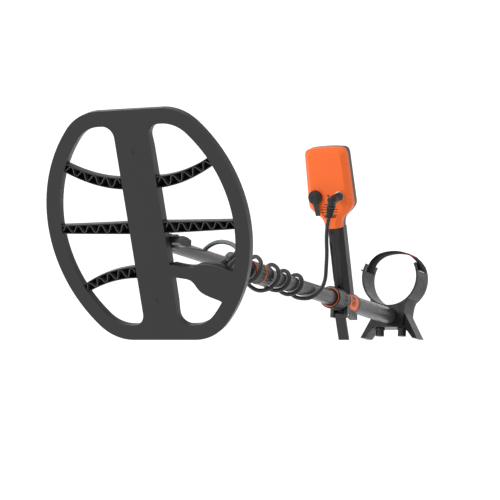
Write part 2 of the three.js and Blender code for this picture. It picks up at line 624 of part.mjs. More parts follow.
function buildBox() {
  const { face, seam, rear } = BOX;
  const wall = 2.2;
  const chamfer = 7;
  const chamferWidth = 8;
  const hollowFloor = GRIP.neck + 3;
  const above = block([-60, -80, hollowFloor], [60, 80, 300]);
  const outer = boxLoft([[seam, 0], [face - chamfer, 0], [face, chamferWidth]]);
  const inner = common(above,
    boxLoft([[seam - 1, wall], [face - chamfer - wall / 2, wall], [face - wall, chamferWidth + wall / 2]]));
  const bosses = join(bar("x", 12.5, face - 3, face + 1.2, [0, CAP.y, CAP.z], 28),
    bar("x", 11, face - 3, face + 1.2, [0, SOCKET.y, SOCKET.z], 28));
  const speakerCentre = 161.3;
  const slots = [-11.3, -6.8, -2.3, 2.3, 6.8, 11.3].map((dz) => {
    const half = Math.sqrt(14.6 * 14.6 - dz * dz);
    return block([face - 6, -half, speakerCentre + dz - 0.6], [face + 2, half, speakerCentre + dz + 0.6]);
  });
  const shell = cut(join(outer, bosses), inner, ...slots,
    bar("x", 1.1, face - 6, face + 3, [0, 0, 187], 12),
    bar("x", 7 + GAP, face - 8, face + 3, [0, SOCKET.y, SOCKET.z], 24),
    bar("x", 7 + GAP, face - 8, face + 3, [0, CAP.y, CAP.z], 24));
  place(grip, "box_shell", shell, FINISH.orange);

  const screen = { half: 30, low: 196, high: 256 };
  const front = boxLoft([[rear, 1.2], [rear + 1.2, 0], [seam - GAP, 0]]);
  const hollow = common(above, boxLoft([[rear + 2.4, wall], [seam + 1, wall]]));
  const opening = block([rear - 1, -screen.half, screen.low], [0, screen.half, screen.high]);
  const holes = BUTTONS.map(([, y, z]) => bar("x", 5.5, rear - 1, 0, [0, y, z], 20));
  place(grip, "box_front", cut(front, hollow, opening, ...holes), FINISH.shell);

  place(grip, "display_window",
    block([rear, -screen.half + GAP, screen.low + GAP], [rear + 1.9, screen.half - GAP, screen.high - GAP]),
    FINISH.glass);
  place(grip, "display_module",
    block([rear + 2.7, -screen.half - 1.5, screen.low - 2], [rear + 6, screen.half + 1.5, screen.high + 1]),
    FINISH.glass);
  place(grip, "main_board", block([0.6, -30, 172], [2.2, 30, 256]), FINISH.board);
  place(grip, "battery", block([4.4, -25, 202], [13, 25, 250]), FINISH.rubber);
  place(grip, "speaker", turned([[7, 0], [7, 7], [10, 7], [15, 12.5], [17, 12.5], [17, 0]]), FINISH.rubber)
    .position.z = speakerCentre;

  for (const [name, y, z] of BUTTONS) {
    const button = join(bar("x", 5.1, rear - 1.4, rear + 3, [0, y, z], 20),
      bar("x", 6.4, rear + 2.4 + GAP, rear + 3.8, [0, y, z], 20));
    place(grip, `button_${name}`, button, FINISH.rubber);
  }
}

// ---------- sockets, plug and cap on the front of the box ----------

const RELIEF_TURN = 18 * Math.PI / 180;

// A point on the plug's strain relief, at a distance from the middle of its elbow.
const reliefPoint = (distance) => [
  PLUG.head, SOCKET.y - distance * Math.sin(RELIEF_TURN), SOCKET.z - distance * Math.cos(RELIEF_TURN)];

function buildConnectors() {
  const { face } = BOX;
  const at = [0, SOCKET.y, SOCKET.z];
  place(grip, "coil_socket", cut(
    join(bar("x", 7, face - 6, face + 2, at), bar("x", 8.5, face + 1.2 + GAP, face + 4.6, at, 28)),
    bar("x", 5.6, face, face + 8, at, 20)), FINISH.metal);
  place(grip, "plug_nut", cut(
    bar("x", 6.6, face + 4.6 + GAP, PLUG.nutFront, at, 18),
    bar("x", 3.6, face, face + 40, at, 16)), FINISH.shell);
  const stem = bar("x", 3.2, face + 2.3, PLUG.head, at, 16);
  const elbow = join(stem, bar("x", 7.4, PLUG.nutFront + GAP, PLUG.head + 7.5, at, 24),
    taper([PLUG.head, at[1], at[2]], reliefPoint(10), 7.2, 6.2));
  place(grip, "plug_elbow", elbow, FINISH.shell);
  place(grip, "plug_relief", taper(reliefPoint(10 + GAP), reliefPoint(30), 6, 4.2), FINISH.rubber);

  const capAt = [0, CAP.y, CAP.z];
  place(grip, "headphone_socket", cut(bar("x", 7, face - 6, face + 1.5, capAt, 24),
    bar("x", 3.2, face - 4, face + 4, capAt, 16)), FINISH.metal);
  const tab = plateX([[CAP.y - 4.5, CAP.z], [CAP.y - 1.5, CAP.z - 31], [CAP.y + 6.5, CAP.z - 31],
    [CAP.y + 5, CAP.z]], face + 5.5, face + 8.2);
  const lid = bar("x", 12, face + 1.8, face + 9, capAt, 28);
  const stopper = bar("x", 2.9, face - 3, face + 4, capAt, 16);
  place(grip, "headphone_cap", join(lid, stopper, tab), FINISH.rubber);
}

// ---------- coil lead, in the shaft's frame: [back from the pivot, left, up] ----------

const WRAP_RADIUS = 17.3;
const WRAP_PITCH = 48;
const WRAP_FIRST = 384;
const WRAPS = 2;
const WRAP_STEPS = 12;

const onShaft = ([station, y, up]) => [-station, y, up];

function wrapPoints() {
  const points = [];
  for (let i = 1; i <= WRAPS * WRAP_STEPS; i += 1) {
    const turn = i / WRAP_STEPS;
    const angle = turn * 2 * Math.PI;
    points.push([
      WRAP_FIRST + WRAP_PITCH * turn,
      WRAP_RADIUS * Math.sin(angle),
      -WRAP_RADIUS * Math.cos(angle),
    ]);
  }
  return points;
}

const LEAD_LOOP = [
  [1.2, 105.3, -28.7], [2, 110, -24.8], [9, 113, -18], [22, 109.5, -10.5], [40, 98, -3], [62, 80, 5],
  [86, 60, 11.5], [110, 38, 16.5], [131, 17, 18], [145, 0, 15], [153, -12, 8],
];
const LEAD_SLACK = [
  [160, -14.5, -1], [171, -9, -12], [182, 1, -15], [192, 12, -9], [201, 15, 2], [211, 9, 13],
  [222, -3, 16], [233, -14, 10], [242, -19, -3], [250, -13, -16], [260, 1, -22.5], [270, 16, -16],
  [279, 22, -1], [290, 17, 15], [301, 2, 24], [309, -14, 18], [315, -22, 2], [319, -17, -15],
  [326, -2, -25], [335, 14, -20], [344, 23, -4], [352, 17, 12], [360, 2, 20], [367, -12, 14],
  [373, -18.5, 2], [378, -14, -12], [384, 0, -17.3],
];
const LEAD_RISER = [
  [492, 9.5, -15.5], [506, 16.5, -7], [519, 19.5, 5], [529, 20, 20], [537, 17.5, 42], [545, 14, 66],
  [554, 8.5, 90], [558.8, 6.6, 110.5], [552.7, 11.9, 126.6],
];

function buildLead() {
  const runs = [["lead_loop", LEAD_LOOP, 12], ["lead_slack", LEAD_SLACK, 34],
    ["lead_wraps", wrapPoints(), 22], ["lead_riser", LEAD_RISER, 12]];
  const all = runs.flatMap(([, points]) => points.map((at) => new THREE.Vector3(...onShaft(at))));
  const route = new THREE.CatmullRomCurve3(all, false, "centripetal");
  const trim = 2 * GAP / route.getLength();
  let first = 0;
  for (const [name, points, steps] of runs) {
    const last = first + points.length - (first === 0 ? 1 : 0);
    const from = first / (all.length - 1);
    const to = last / (all.length - 1);
    place(shaft, name, cord(new Stretch(route, from + trim, to - trim), LEAD_RADIUS, steps), FINISH.lead);
    first = last;
  }
}

buildCoil();
buildPivot();
buildShaft();
buildHousing();
buildArmrest();
buildGrip();
buildBox();
buildConnectors();
buildLead();

export default detector;
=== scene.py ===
# Metal detector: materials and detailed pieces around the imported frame.
#
# Local frames are in millimetres and share the frame's own joints:
#   SHAFT  x forward along the shaft from the coil pivot, so stations run backward along -x
#   COIL   x out of the flat search face, z from the heel to the toe
#   GRIP   x towards the coil, z up the grip from the shaft's axis
# Blender objects are in metres in the row frame.

import json
import math

import bmesh
import bpy
from mathutils import Matrix, Vector

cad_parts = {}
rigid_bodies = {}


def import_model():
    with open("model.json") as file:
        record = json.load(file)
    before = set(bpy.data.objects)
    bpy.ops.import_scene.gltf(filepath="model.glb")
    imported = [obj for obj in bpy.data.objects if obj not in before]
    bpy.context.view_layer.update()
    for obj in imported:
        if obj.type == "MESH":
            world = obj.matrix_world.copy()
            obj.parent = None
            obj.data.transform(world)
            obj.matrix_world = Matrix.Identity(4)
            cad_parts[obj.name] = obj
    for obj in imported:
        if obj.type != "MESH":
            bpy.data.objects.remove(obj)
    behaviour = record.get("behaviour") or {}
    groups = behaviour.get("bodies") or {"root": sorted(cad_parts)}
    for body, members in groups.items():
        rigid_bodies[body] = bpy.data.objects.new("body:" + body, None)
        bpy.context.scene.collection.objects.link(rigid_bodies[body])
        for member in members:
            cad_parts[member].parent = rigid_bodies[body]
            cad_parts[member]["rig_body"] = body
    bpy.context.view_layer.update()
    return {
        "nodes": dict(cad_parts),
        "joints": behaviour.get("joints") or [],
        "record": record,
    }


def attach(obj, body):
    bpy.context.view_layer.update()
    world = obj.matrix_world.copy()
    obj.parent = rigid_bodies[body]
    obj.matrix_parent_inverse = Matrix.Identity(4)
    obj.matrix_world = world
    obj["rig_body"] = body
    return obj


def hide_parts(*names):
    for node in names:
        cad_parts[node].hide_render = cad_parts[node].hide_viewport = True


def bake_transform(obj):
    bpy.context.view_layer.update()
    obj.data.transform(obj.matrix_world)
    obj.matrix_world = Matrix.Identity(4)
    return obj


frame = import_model()
scene = bpy.context.scene
MM = 0.001

# ---------- local frames ----------

joints = {joint["name"]: joint for joint in frame["joints"]}
mounts = {mount["name"]: mount for mount in frame["record"]["mounts"]}


def local_frame(origin, forward):
    """Millimetre coordinates with x along forward and y to the left, turned into row metres."""
    x = Vector(forward).normalized()
    y = Vector((0, 1, 0))
    z = x.cross(y)
    basis = Matrix((x, y, z)).transposed().to_4x4()
    return Matrix.Translation(Vector(origin)) @ basis @ Matrix.Scale(MM, 4)


pivot = Vector(joints["coil_tilt"]["pos_m"])
SHAFT = local_frame(pivot, joints["lower_stem_slide"]["axis"])
search_axis = Vector(mounts["coil_face"]["axis"])
coil_z = search_axis.cross(Vector((0, 1, 0)))
COIL_CENTRE_UP = 165
COIL = local_frame(Vector(mounts["coil_face"]["pos_m"]) - coil_z * COIL_CENTRE_UP * MM, search_axis)
SOCKET_Y = 21.2
SOCKET_Z = 186
SOCKET_X = 30
grip_axis = Vector(joints["plug_nut_turn"]["axis"])
grip_z = grip_axis.cross(Vector((0, 1, 0)))
socket = Vector(joints["plug_nut_turn"]["pos_m"])
GRIP = local_frame(
    socket - grip_axis * SOCKET_X * MM - Vector((0, SOCKET_Y * MM, 0)) - grip_z * SOCKET_Z * MM, grip_axis)

# ---------- camera ----------

CAMERA_AT = (2.86723, 1.32427, 0.0)
CAMERA_TURN = math.radians(25.751)
CAMERA_RISE = math.radians(2.5766)

camera = bpy.data.objects.new("camera", bpy.data.cameras.new("camera"))
scene.collection.objects.link(camera)
scene.camera = camera
camera.location = CAMERA_AT
camera.data.lens = 144
camera.data.sensor_width = 36
camera.data.clip_start = 0.05
camera.data.clip_end = 100
look = Vector((
    -math.cos(CAMERA_RISE) * math.cos(CAMERA_TURN),
    -math.cos(CAMERA_RISE) * math.sin(CAMERA_TURN),
    math.sin(CAMERA_RISE),
))
right = Vector((-math.sin(CAMERA_TURN), math.cos(CAMERA_TURN), 0))
camera.rotation_mode = "QUATERNION"
camera.rotation_quaternion = Matrix((right, right.cross(look), -look)).transposed().to_quaternion()

# ---------- materials ----------


class Nodes:
    """A material's node tree, with short calls for the nodes that the finishes share."""

    def __init__(self, name):
        self.material = bpy.data.materials.new(name)
        self.material.use_nodes = True
        self.tree = self.material.node_tree
        self.shader = self.tree.nodes["Principled BSDF"]
        self.place = self.add("ShaderNodeTexCoord")

    def add(self, kind, **settings):
        node = self.tree.nodes.new(kind)
        for key, value in settings.items():
            setattr(node, key, value)
        return node

    def link(self, source, target):
        self.tree.links.new(source, target)

    def noise(self, scale, detail=2.0, source="Object", stretch=(1, 1, 1)):
        mapping = self.add("ShaderNodeMapping")
        mapping.inputs["Scale"].default_value = stretch
        self.link(self.place.outputs[source], mapping.inputs["Vector"])
        node = self.add("ShaderNodeTexNoise")
        node.inputs["Scale"].default_value = scale
        node.inputs["Detail"].default_value = detail
        self.link(mapping.outputs["Vector"], node.inputs["Vector"])
        return node.outputs["Fac"]

    def spread(self, value, low, high, to_low, to_high):
        node = self.add("ShaderNodeMapRange")
        for key, number in (("From Min", low), ("From Max", high), ("To Min", to_low), ("To Max", to_high)):
            node.inputs[key].default_value = number
        self.link(value, node.inputs["Value"])
        return node.outputs["Result"]

    def math(self, operation, a, b=None):
        node = self.add("ShaderNodeMath", operation=operation)
        for index, value in enumerate((a, b)):
            if isinstance(value, (int, float)):
                node.inputs[index].default_value = value
            elif value is not None:
                self.link(value, node.inputs[index])
        return node.outputs[0]

    def mix(self, factor, a, b):
        node = self.add("ShaderNodeMix", data_type="RGBA")
        self.link(factor, node.inputs["Factor"])
        for socket_name, value in (("A", a), ("B", b)):
            target = next(s for s in node.inputs if s.name == socket_name and s.type == "RGBA")
            if isinstance(value, tuple):
                target.default_value = (*value, 1)
            else:
                self.link(value, target)
        return next(s for s in node.outputs if s.type == "RGBA")

    def bump(self, height, distance, strength=1.0):
        node = self.add("ShaderNodeBump")
        node.inputs["Distance"].default_value = distance
        node.inputs["Strength"].default_value = strength
        self.link(height, node.inputs["Height"])
        self.link(node.outputs["Normal"], self.shader.inputs["Normal"])

    def colour(self, value):
        self.link(value, self.shader.inputs["Base Color"])

    def rough(self, value):
        self.link(value, self.shader.inputs["Roughness"])


def moulded(name, colour, worn, roughness, grain=1400, depth=0.00008, specular=0.5, metallic=0.0):
    """Moulded or coated surface: fine grain, faint mottling, and slightly lighter rubbed edges."""
    nodes = Nodes(name)
    mottle = nodes.spread(nodes.noise(26, 3), 0.35, 0.65, 0, 1)
    base = nodes.mix(mottle, tuple(0.98 * c for c in colour), tuple(1.02 * c for c in colour))
    edge = nodes.add("ShaderNodeNewGeometry").outputs["Pointiness"]
    rubbed = nodes.math("MULTIPLY", nodes.spread(edge, 0.505, 0.56, 0, 0.55),
                        nodes.spread(nodes.noise(240, 3), 0.35, 0.6, 0.35, 1))
    nodes.colour(nodes.mix(rubbed, base, worn))
    nodes.rough(nodes.spread(nodes.noise(90, 3), 0.3, 0.7, roughness - 0.05, roughness + 0.06))
    nodes.bump(nodes.noise(grain, 2), depth, 0.6)
    nodes.shader.inputs["Specular IOR Level"].default_value = specular
    nodes.shader.inputs["Metallic"].default_value = metallic
    return nodes.material


def knobbly(name, colour, pitch, depth):
    """Soft rubber with a pattern of small raised dots, in millimetres of pitch, the ground between them
    painted darker as shade.
    """
    nodes = Nodes(name)
    cells = nodes.add("ShaderNodeTexVoronoi", feature="F1")
    cells.inputs["Scale"].default_value = 1000 / pitch
    cells.inputs["Randomness"].default_value = 0.12
    nodes.link(nodes.place.outputs["Object"], cells.inputs["Vector"])
    dots = nodes.spread(cells.outputs["Distance"], 0.15, 0.42, 1, 0)
    # Painted shade: the ground between the dots is 0.75 of the colour, the dots' tops full colour.
    nodes.colour(nodes.mix(dots, tuple(0.75 * c for c in colour), colour))
    nodes.rough(nodes.spread(nodes.noise(120), 0.3, 0.7, 0.68, 0.82))
    nodes.bump(dots, depth, 0.9)
    return nodes.material


def metal(name, colour, roughness, stretch):
    """Bare metal with faint tool marks drawn out along the axis where stretch is small."""
    nodes = Nodes(name)
    marks = nodes.noise(1600, 2, stretch=stretch)
    nodes.colour(nodes.mix(nodes.spread(marks, 0.3, 0.7, 0, 1), tuple(0.86 * c for c in colour), colour))
    nodes.rough(nodes.spread(marks, 0.3, 0.7, roughness - 0.05, roughness + 0.08))
    nodes.bump(marks, 0.00002, 0.4)
    nodes.shader.inputs["Metallic"].default_value = 1
    return nodes.material


def webbing(name, dark, light, thread):
    """Plain weave along a band whose UV map is in metres: over and under threads of one width, with painted
    shade at the low crossings.
    """
    nodes = Nodes(name)
    parts = nodes.add("ShaderNodeSeparateXYZ")
    nodes.link(nodes.place.outputs["UV"], parts.inputs["Vector"])
    turns = math.pi / thread
    along = nodes.math("SINE", nodes.math("MULTIPLY", parts.outputs["X"], turns))
    across = nodes.math("SINE", nodes.math("MULTIPLY", parts.outputs["Y"], turns))
    weave = nodes.math("MULTIPLY", along, across)
    height = nodes.spread(weave, -1, 1, 0, 1)
    fuzz = nodes.noise(2600, 3)
    shade = nodes.math("MULTIPLY", height, nodes.spread(fuzz, 0.3, 0.7, 0.6, 1))
    # Painted shade: the low crossings of the weave are coloured darker than the raised threads.
    nodes.colour(nodes.mix(shade, dark, light))
    nodes.rough(nodes.spread(fuzz, 0.3, 0.7, 0.82, 0.97))
    nodes.bump(nodes.math("ADD", height, nodes.math("MULTIPLY", fuzz, 0.4)), 0.0003, 0.8)
    nodes.shader.inputs["Sheen Weight"].default_value = 0.05
    nodes.shader.inputs["Specular IOR Level"].default_value = 0.15
    return nodes.material


def glazing(name, colour, roughness):
    """Clear plastic window, tinted, with a very slight ripple and fine dust in its gloss."""
    nodes = Nodes(name)
    ripple = nodes.noise(60)
    nodes.colour(nodes.mix(nodes.spread(ripple, 0.3, 0.7, 0, 1), tuple(0.9 * c for c in colour), colour))
    nodes.rough(nodes.spread(nodes.noise(500), 0.4, 0.7, roughness, roughness + 0.07))
    nodes.bump(ripple, 0.00003, 0.2)
    nodes.shader.inputs["Coat Weight"].default_value = 0.6
    nodes.shader.inputs["Coat Roughness"].default_value = 0.05
    return nodes.material


PAINT = {
    "coil_grey": moulded(
        "coil_plastic", (0.024, 0.024, 0.0245), (0.032, 0.032, 0.032),
        0.34, 1300, 0.00001, 0.3),
    "shaft_black": moulded(
        "black_nylon", (0.012, 0.012, 0.0125), (0.022, 0.022, 0.022),
        0.34, 1500, 0.00001, 0.4),
    "cuff_grey": moulded(
        "cuff_nylon", (0.007, 0.007, 0.0073), (0.010, 0.010, 0.010),
        0.36, 1100, 0.00001, 0.25),
    "tube_grey": moulded(
        "coated_tube", (0.062, 0.062, 0.063), (0.066, 0.066, 0.066),
        0.3, 2200, 0.000003, 0.5, 0.25),
    "orange_plastic": moulded(
        "orange_plastic", (1.0, 0.165, 0.030), (1.0, 0.19, 0.045),
        0.42, 1700, 0.00001, 0.25),
    "black_rubber": moulded(
        "black_rubber", (0.011, 0.011, 0.0115), (0.04, 0.04, 0.04),
        0.5, 900, 0.00004, 0.5),
    "lead_grey": moulded(
        "lead_jacket", (0.028, 0.028, 0.0285), (0.034, 0.034, 0.034),
        0.34, 1900, 0.00001, 0.4),
    "strap_webbing": webbing("strap_webbing", (0.004, 0.004, 0.004), (0.026, 0.026, 0.028), 0.0016),
    "bright_metal": metal("plated_metal", (0.72, 0.72, 0.73), 0.24, (1, 1, 0.05)),
    "dark_metal": metal("blackened_steel", (0.05, 0.05, 0.052), 0.38, (1, 1, 0.05)),
    "copper_wire": metal("copper_wire", (0.62, 0.27, 0.12), 0.34, (0.05, 1, 1)),
    "circuit_board": moulded("solder_mask", (0.015, 0.10, 0.045), (0.2, 0.3, 0.2), 0.36, 600, 0.0001),
    "display_glass": glazing("display_window", (0.010, 0.013, 0.016), 0.08),
    "display_mark": glazing("display_segments", (0.30, 0.34, 0.32), 0.30),
    "pad": knobbly("grip_pad_rubber", (0.026, 0.026, 0.027), 2.0, 0.0005),
    "leg_grey": moulded(
        "leg_nylon", (0.024, 0.024, 0.0245), (0.032, 0.032, 0.032),
        0.36, 1300, 0.00001, 0.35),
    # Near-black matte finish: painted shade, laid as a skin inside the rib channels.
    "near_black_shade": moulded(
        "near_black_shade", (0.003, 0.003, 0.003), (0.005, 0.005, 0.005),
        0.8, 900, 0.00002, 0.05),
    "web_grey": moulded("rib_web", (0.06, 0.06, 0.06), (0.08, 0.08, 0.08), 0.5, 1300, 0.00003),
    "label_mark": moulded("label_mark", (0.035, 0.010, 0.006), (0.1, 0.03, 0.02), 0.5, 1700, 0.00002),
}


def paint(piece, finish):
    piece.data.materials.clear()
    piece.data.materials.append(PAINT[finish])


for subpart in frame["record"]["subparts"]:
    paint(frame["nodes"][subpart["node"]], subpart["material_slot"])

# ---------- meshes ----------


def settle(mesh, bevel=0.0, segments=2, sharp=32, smooth=0):
    """Applies a small round to the edges sharper than sharp degrees, and shades the rest smooth."""
    mesh.set_sharp_from_angle(angle=math.radians(sharp))
    if not bevel and not smooth:
        return mesh
    maker = bpy.data.objects.new("maker", mesh)
    scene.collection.objects.link(maker)
    if bevel:
        edge = maker.modifiers.new("edge", "BEVEL")
        edge.width = bevel * MM
        edge.segments = segments
        edge.limit_method = "ANGLE"
        edge.angle_limit = math.radians(sharp)
        edge.harden_normals = True
        edge.miter_outer = "MITER_ARC"
    if smooth:
        surface = maker.modifiers.new("surface", "SUBSURF")
        surface.levels = smooth
        surface.render_levels = smooth
    depsgraph = bpy.context.evaluated_depsgraph_get()
    made = bpy.data.meshes.new_from_object(maker.evaluated_get(depsgraph))
    bpy.data.objects.remove(maker)
    return made


def piece(name, mesh, finish, body=None, stands_for=()):
    """Makes a scene object from a mesh in row metres, painted, and rides it on a body."""
    made = bpy.data.objects.new(name, mesh)
    scene.collection.objects.link(made)
    paint(made, finish)
    if body:
        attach(made, body)
    if stands_for:
        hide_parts(*stands_for)
    return made


def to_mesh(name, shapes, place):
    """One mesh in row metres from one or more bmeshes in a local frame."""
    mesh = bpy.data.meshes.new(name)
    whole = bmesh.new()
    for shape in shapes if isinstance(shapes, list) else [shapes]:
        scratch = bpy.data.meshes.new("scratch")
        shape.to_mesh(scratch)
        shape.free()
        whole.from_mesh(scratch)
        bpy.data.meshes.remove(scratch)
    whole.transform(place)
    bmesh.ops.recalc_face_normals(whole, faces=whole.faces)
    for face in whole.faces:
        face.smooth = True
    whole.to_mesh(mesh)
    whole.free()
    return mesh


def loft(rings, closed=False, ends=True):
    """A skin through rings of the same number of points. closed joins the last ring to the first."""
    shape = bmesh.new()
    rows = [[shape.verts.new(point) for point in ring] for ring in rings]
    count = len(rows[0])
    pairs = list(zip(rows, rows[1:] + ([rows[0]] if closed else [])))
    for low, high in pairs:
        for i in range(count):
            j = (i + 1) % count
            shape.faces.new((low[i], low[j], high[j], high[i]))
    if ends and not closed:
        shape.faces.new(list(reversed(rows[0])))
        shape.faces.new(rows[-1])
    return shape


def ring_x(x, radius, sides, y=0, z=0, ripple=None):
    """Points of a circle square to x; ripple(angle) adds to its radius."""
    points = []
    for i in range(sides):
        angle = 2 * math.pi * i / sides
        reach = radius + (ripple(angle) if ripple else 0)
        points.append((x, y + reach * math.cos(angle), z + reach * math.sin(angle)))
    return points


def lathe(profile, sides=48, y=0, z=0, closed=True):
    """A body turned about x. A closed profile is a ring's section, an open one ends on two flat ends."""
    rings = [ring_x(x, radius, sides, y, z) for x, radius in profile]
    return loft(rings, closed=closed)


def prism(outline, low, high, axis="x"):
    """A flat outline extruded along x from [y, z] points, or along y from [x, z] points."""
    def at(point, level):
        return (level, point[0], point[1]) if axis == "x" else (point[0], level, point[1])
    return loft([[at(p, low) for p in outline], [at(p, high) for p in outline]])


def carve(first, *steps):
    """Booleans on bmeshes in millimetres: steps are (operation, bmesh). Gives a bmesh."""
    def temporary(shape):
        mesh = bpy.data.meshes.new("temporary")
        bmesh.ops.recalc_face_normals(shape, faces=shape.faces)
        shape.to_mesh(mesh)
        shape.free()
        made = bpy.data.objects.new("temporary", mesh)
        scene.collection.objects.link(made)
        return made
    body = temporary(first)
    tools = []
    for operation, shape in steps:
        tool = temporary(shape)
        tools.append(tool)
        modifier = body.modifiers.new("carve", "BOOLEAN")
        modifier.operation = operation
        modifier.object = tool
        modifier.solver = "EXACT"
    depsgraph = bpy.context.evaluated_depsgraph_get()
    mesh = bpy.data.meshes.new_from_object(body.evaluated_get(depsgraph))
    result = bmesh.new()
    result.from_mesh(mesh)
    for used in (body, *tools):
        bpy.data.objects.remove(used)
    return result


def refine(node, width, finish, segments=2, sharp=32, name=None):
    """The CAD solid again with its flat faces whole, its edges rounded and its curves shaded smooth."""
    source = frame["nodes"][node]
    shape = bmesh.new()
    shape.from_mesh(source.data)
    bmesh.ops.remove_doubles(shape, verts=shape.verts, dist=2e-6)
    bmesh.ops.dissolve_limit(
        shape, angle_limit=math.radians(0.6), verts=shape.verts, edges=shape.edges)
    for face in shape.faces:
        face.smooth = True
    mesh = bpy.data.meshes.new(node)
    shape.to_mesh(mesh)
    shape.free()
    body = source["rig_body"]
    return piece(name or node + "_detail", settle(mesh, width, segments, sharp), finish, body, [node])


# ---------- coil lead: the route of the cable, as [back from the pivot, left, up] in millimetres ----------

LEAD_DIAMETER = 6.5
WRAP_RADIUS = 17.3
WRAP_PITCH = 48
WRAP_FIRST = 384
WRAPS = 2
WRAP_STEPS = 12
LEAD_LOOP = [
    (1.2, 105.3, -28.7), (2, 110, -24.8), (9, 113, -18), (22, 109.5, -10.5), (40, 98, -3), (62, 80, 5),
    (86, 60, 11.5), (110, 38, 16.5), (131, 17, 18), (145, 0, 15), (153, -12, 8),
]
LEAD_SLACK = [
    (160, -14.5, -1), (171, -9, -12), (182, 1, -15), (192, 12, -9), (201, 15, 2), (211, 9, 13),
    (222, -3, 16), (233, -14, 10), (242, -19, -3), (250, -13, -16), (260, 1, -22.5), (270, 16, -16),
    (279, 22, -1), (290, 17, 15), (301, 2, 24), (309, -14, 18), (315, -22, 2), (319, -17, -15),
    (326, -2, -25), (335, 14, -20), (344, 23, -4), (352, 17, 12), (360, 2, 20), (367, -12, 14),
    (373, -18.5, 2), (378, -14, -12), (384, 0, -17.3),
]
LEAD_RISER = [
    (492, 9.5, -15.5), (506, 16.5, -7), (519, 19.5, 5), (529, 20, 20), (537, 17.5, 42), (545, 14, 66),
    (554, 8.5, 90), (558.8, 6.6, 110.5), (552.7, 11.9, 126.6),
]


def wrap_points():
    points = []
    for i in range(1, WRAPS * WRAP_STEPS + 1):
        turn = i / WRAP_STEPS
        angle = turn * 2 * math.pi
        points.append((
            WRAP_FIRST + WRAP_PITCH * turn, WRAP_RADIUS * math.sin(angle), -WRAP_RADIUS * math.cos(angle)))
    return points


def centripetal(points, per_span):
    """The centripetal Catmull-Rom curve through points, sampled per_span times between each two."""
    ends = [points[0] * 2 - points[1], *points, points[-1] * 2 - points[-2]]
    samples = []
    for i in range(1, len(ends) - 2):
        p0, p1, p2, p3 = ends[i - 1:i + 3]
        knots = [0.0]
        for a, b in ((p0, p1), (p1, p2), (p2, p3)):
            knots.append(knots[-1] + math.sqrt((b - a).length))
        t0, t1, t2, t3 = knots
        for k in range(per_span):
            t = t1 + (t2 - t1) * k / per_span
            a1 = p0 * ((t1 - t) / (t1 - t0)) + p1 * ((t - t0) / (t1 - t0))
            a2 = p1 * ((t2 - t) / (t2 - t1)) + p2 * ((t - t1) / (t2 - t1))
            a3 = p2 * ((t3 - t) / (t3 - t2)) + p3 * ((t - t2) / (t3 - t2))
            b1 = a1 * ((t2 - t) / (t2 - t0)) + a2 * ((t - t0) / (t2 - t0))
            b2 = a2 * ((t3 - t) / (t3 - t1)) + a3 * ((t - t1) / (t3 - t1))
            samples.append(b1 * ((t2 - t) / (t2 - t1)) + b2 * ((t - t1) / (t2 - t1)))
    samples.append(points[-1])
    return samples


def tube_rings(path, radius, sides=16):
    """Circles carried along a path without twist."""
    rings = []
    normal = (path[1] - path[0]).orthogonal().normalized()
    for i, point in enumerate(path):
        ahead = path[min(i + 1, len(path) - 1)] - path[max(i - 1, 0)]
        ahead.normalize()
        normal = (normal - ahead * normal.dot(ahead)).normalized()
        side = ahead.cross(normal)
        rings.append([
            point + (normal * math.cos(a) + side * math.sin(a)) * radius
            for a in (2 * math.pi * k / sides for k in range(sides))])
    return rings


PER_SPAN = 6
runs = [("lead_loop", LEAD_LOOP), ("lead_slack", LEAD_SLACK), ("lead_wraps", wrap_points()),
        ("lead_riser", LEAD_RISER)]
knots = [SHAFT @ Vector((-back, left, up)) for _, points in runs for back, left, up in points]
route = centripetal(knots, PER_SPAN)
lead = {}
first = 0
for name, points in runs:
    last = first + (len(points) - (1 if first == 0 else 0)) * PER_SPAN
    path = route[first:last + 1]
    mesh = to_mesh(name, loft(tube_rings(path, LEAD_DIAMETER * MM / 2)), Matrix.Identity(4))
    made = piece(name + "_cable", settle(mesh, sharp=50), "lead_grey", None, [name])
    length = sum((b - a).length for a, b in zip(path, path[1:]))
    lead[name] = (made, path, length)
    first = last

for name, near, far in (("lead_loop", "coil", "lower_stem"), ("lead_slack", "lower_stem", "middle_stem"),
                        ("lead_riser", "middle_stem", "root")):
    made, path, length = lead[name]
    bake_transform(made)
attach(lead["lead_wraps"][0], "middle_stem")

# ---------- coil ----------

LENGTH = 330
SIDE_RADIUS = 208.8
CORNER_RADIUS = 69.7
RIM = 21.5
SPINE = 54.3
FILLET = 17
COVER_BACK = -2.8
BACK = -11.2
PARTING = 0.4
HALF_WIDTH = 156.3
MIDDLE = LENGTH / 2


def coil_outline(inset, steps=18):
    """Flat toe and heel, round corners and wide side arcs, moved inward by inset, as [y, z] points."""
    side_centre = HALF_WIDTH - SIDE_RADIUS
    rise = MIDDLE - CORNER_RADIUS
    corner_y = side_centre + math.sqrt((SIDE_RADIUS - CORNER_RADIUS) ** 2 - rise ** 2)
    tangent = math.atan2(rise, corner_y - side_centre)
    quarter = []
    for i in range(steps + 1):
        angle = tangent * i / steps
        quarter.append((side_centre + (SIDE_RADIUS - inset) * math.cos(angle),
                        MIDDLE + (SIDE_RADIUS - inset) * math.sin(angle)))
    for i in range(1, steps + 1):
        angle = tangent + (math.pi / 2 - tangent) * i / steps
        quarter.append((corner_y + (CORNER_RADIUS - inset) * math.cos(angle),
                        MIDDLE + rise + (CORNER_RADIUS - inset) * math.sin(angle)))
    upper = quarter + [(-y, z) for y, z in reversed(quarter)]
    lower = [(y, 2 * MIDDLE - z) for y, z in reversed(upper[1:-1])]
    return upper + lower


POD = [
    (24, 92), (40, 90), (55, 87.5), (61, 81), (65, 73), (72, 66.5), (84, 61), (100, 55), (112, 40),
    (142, 80), (128, 93.5), (112, 101), (93, 108), (72, 109.5), (61, 103.8), (42, 106.5), (24, 111),
]


def box_block(low, high):
    (x0, y0, z0), (x1, y1, z1) = low, high
    return prism([(y0, z0), (y1, z0), (y1, z1), (y0, z1)], x0, x1)


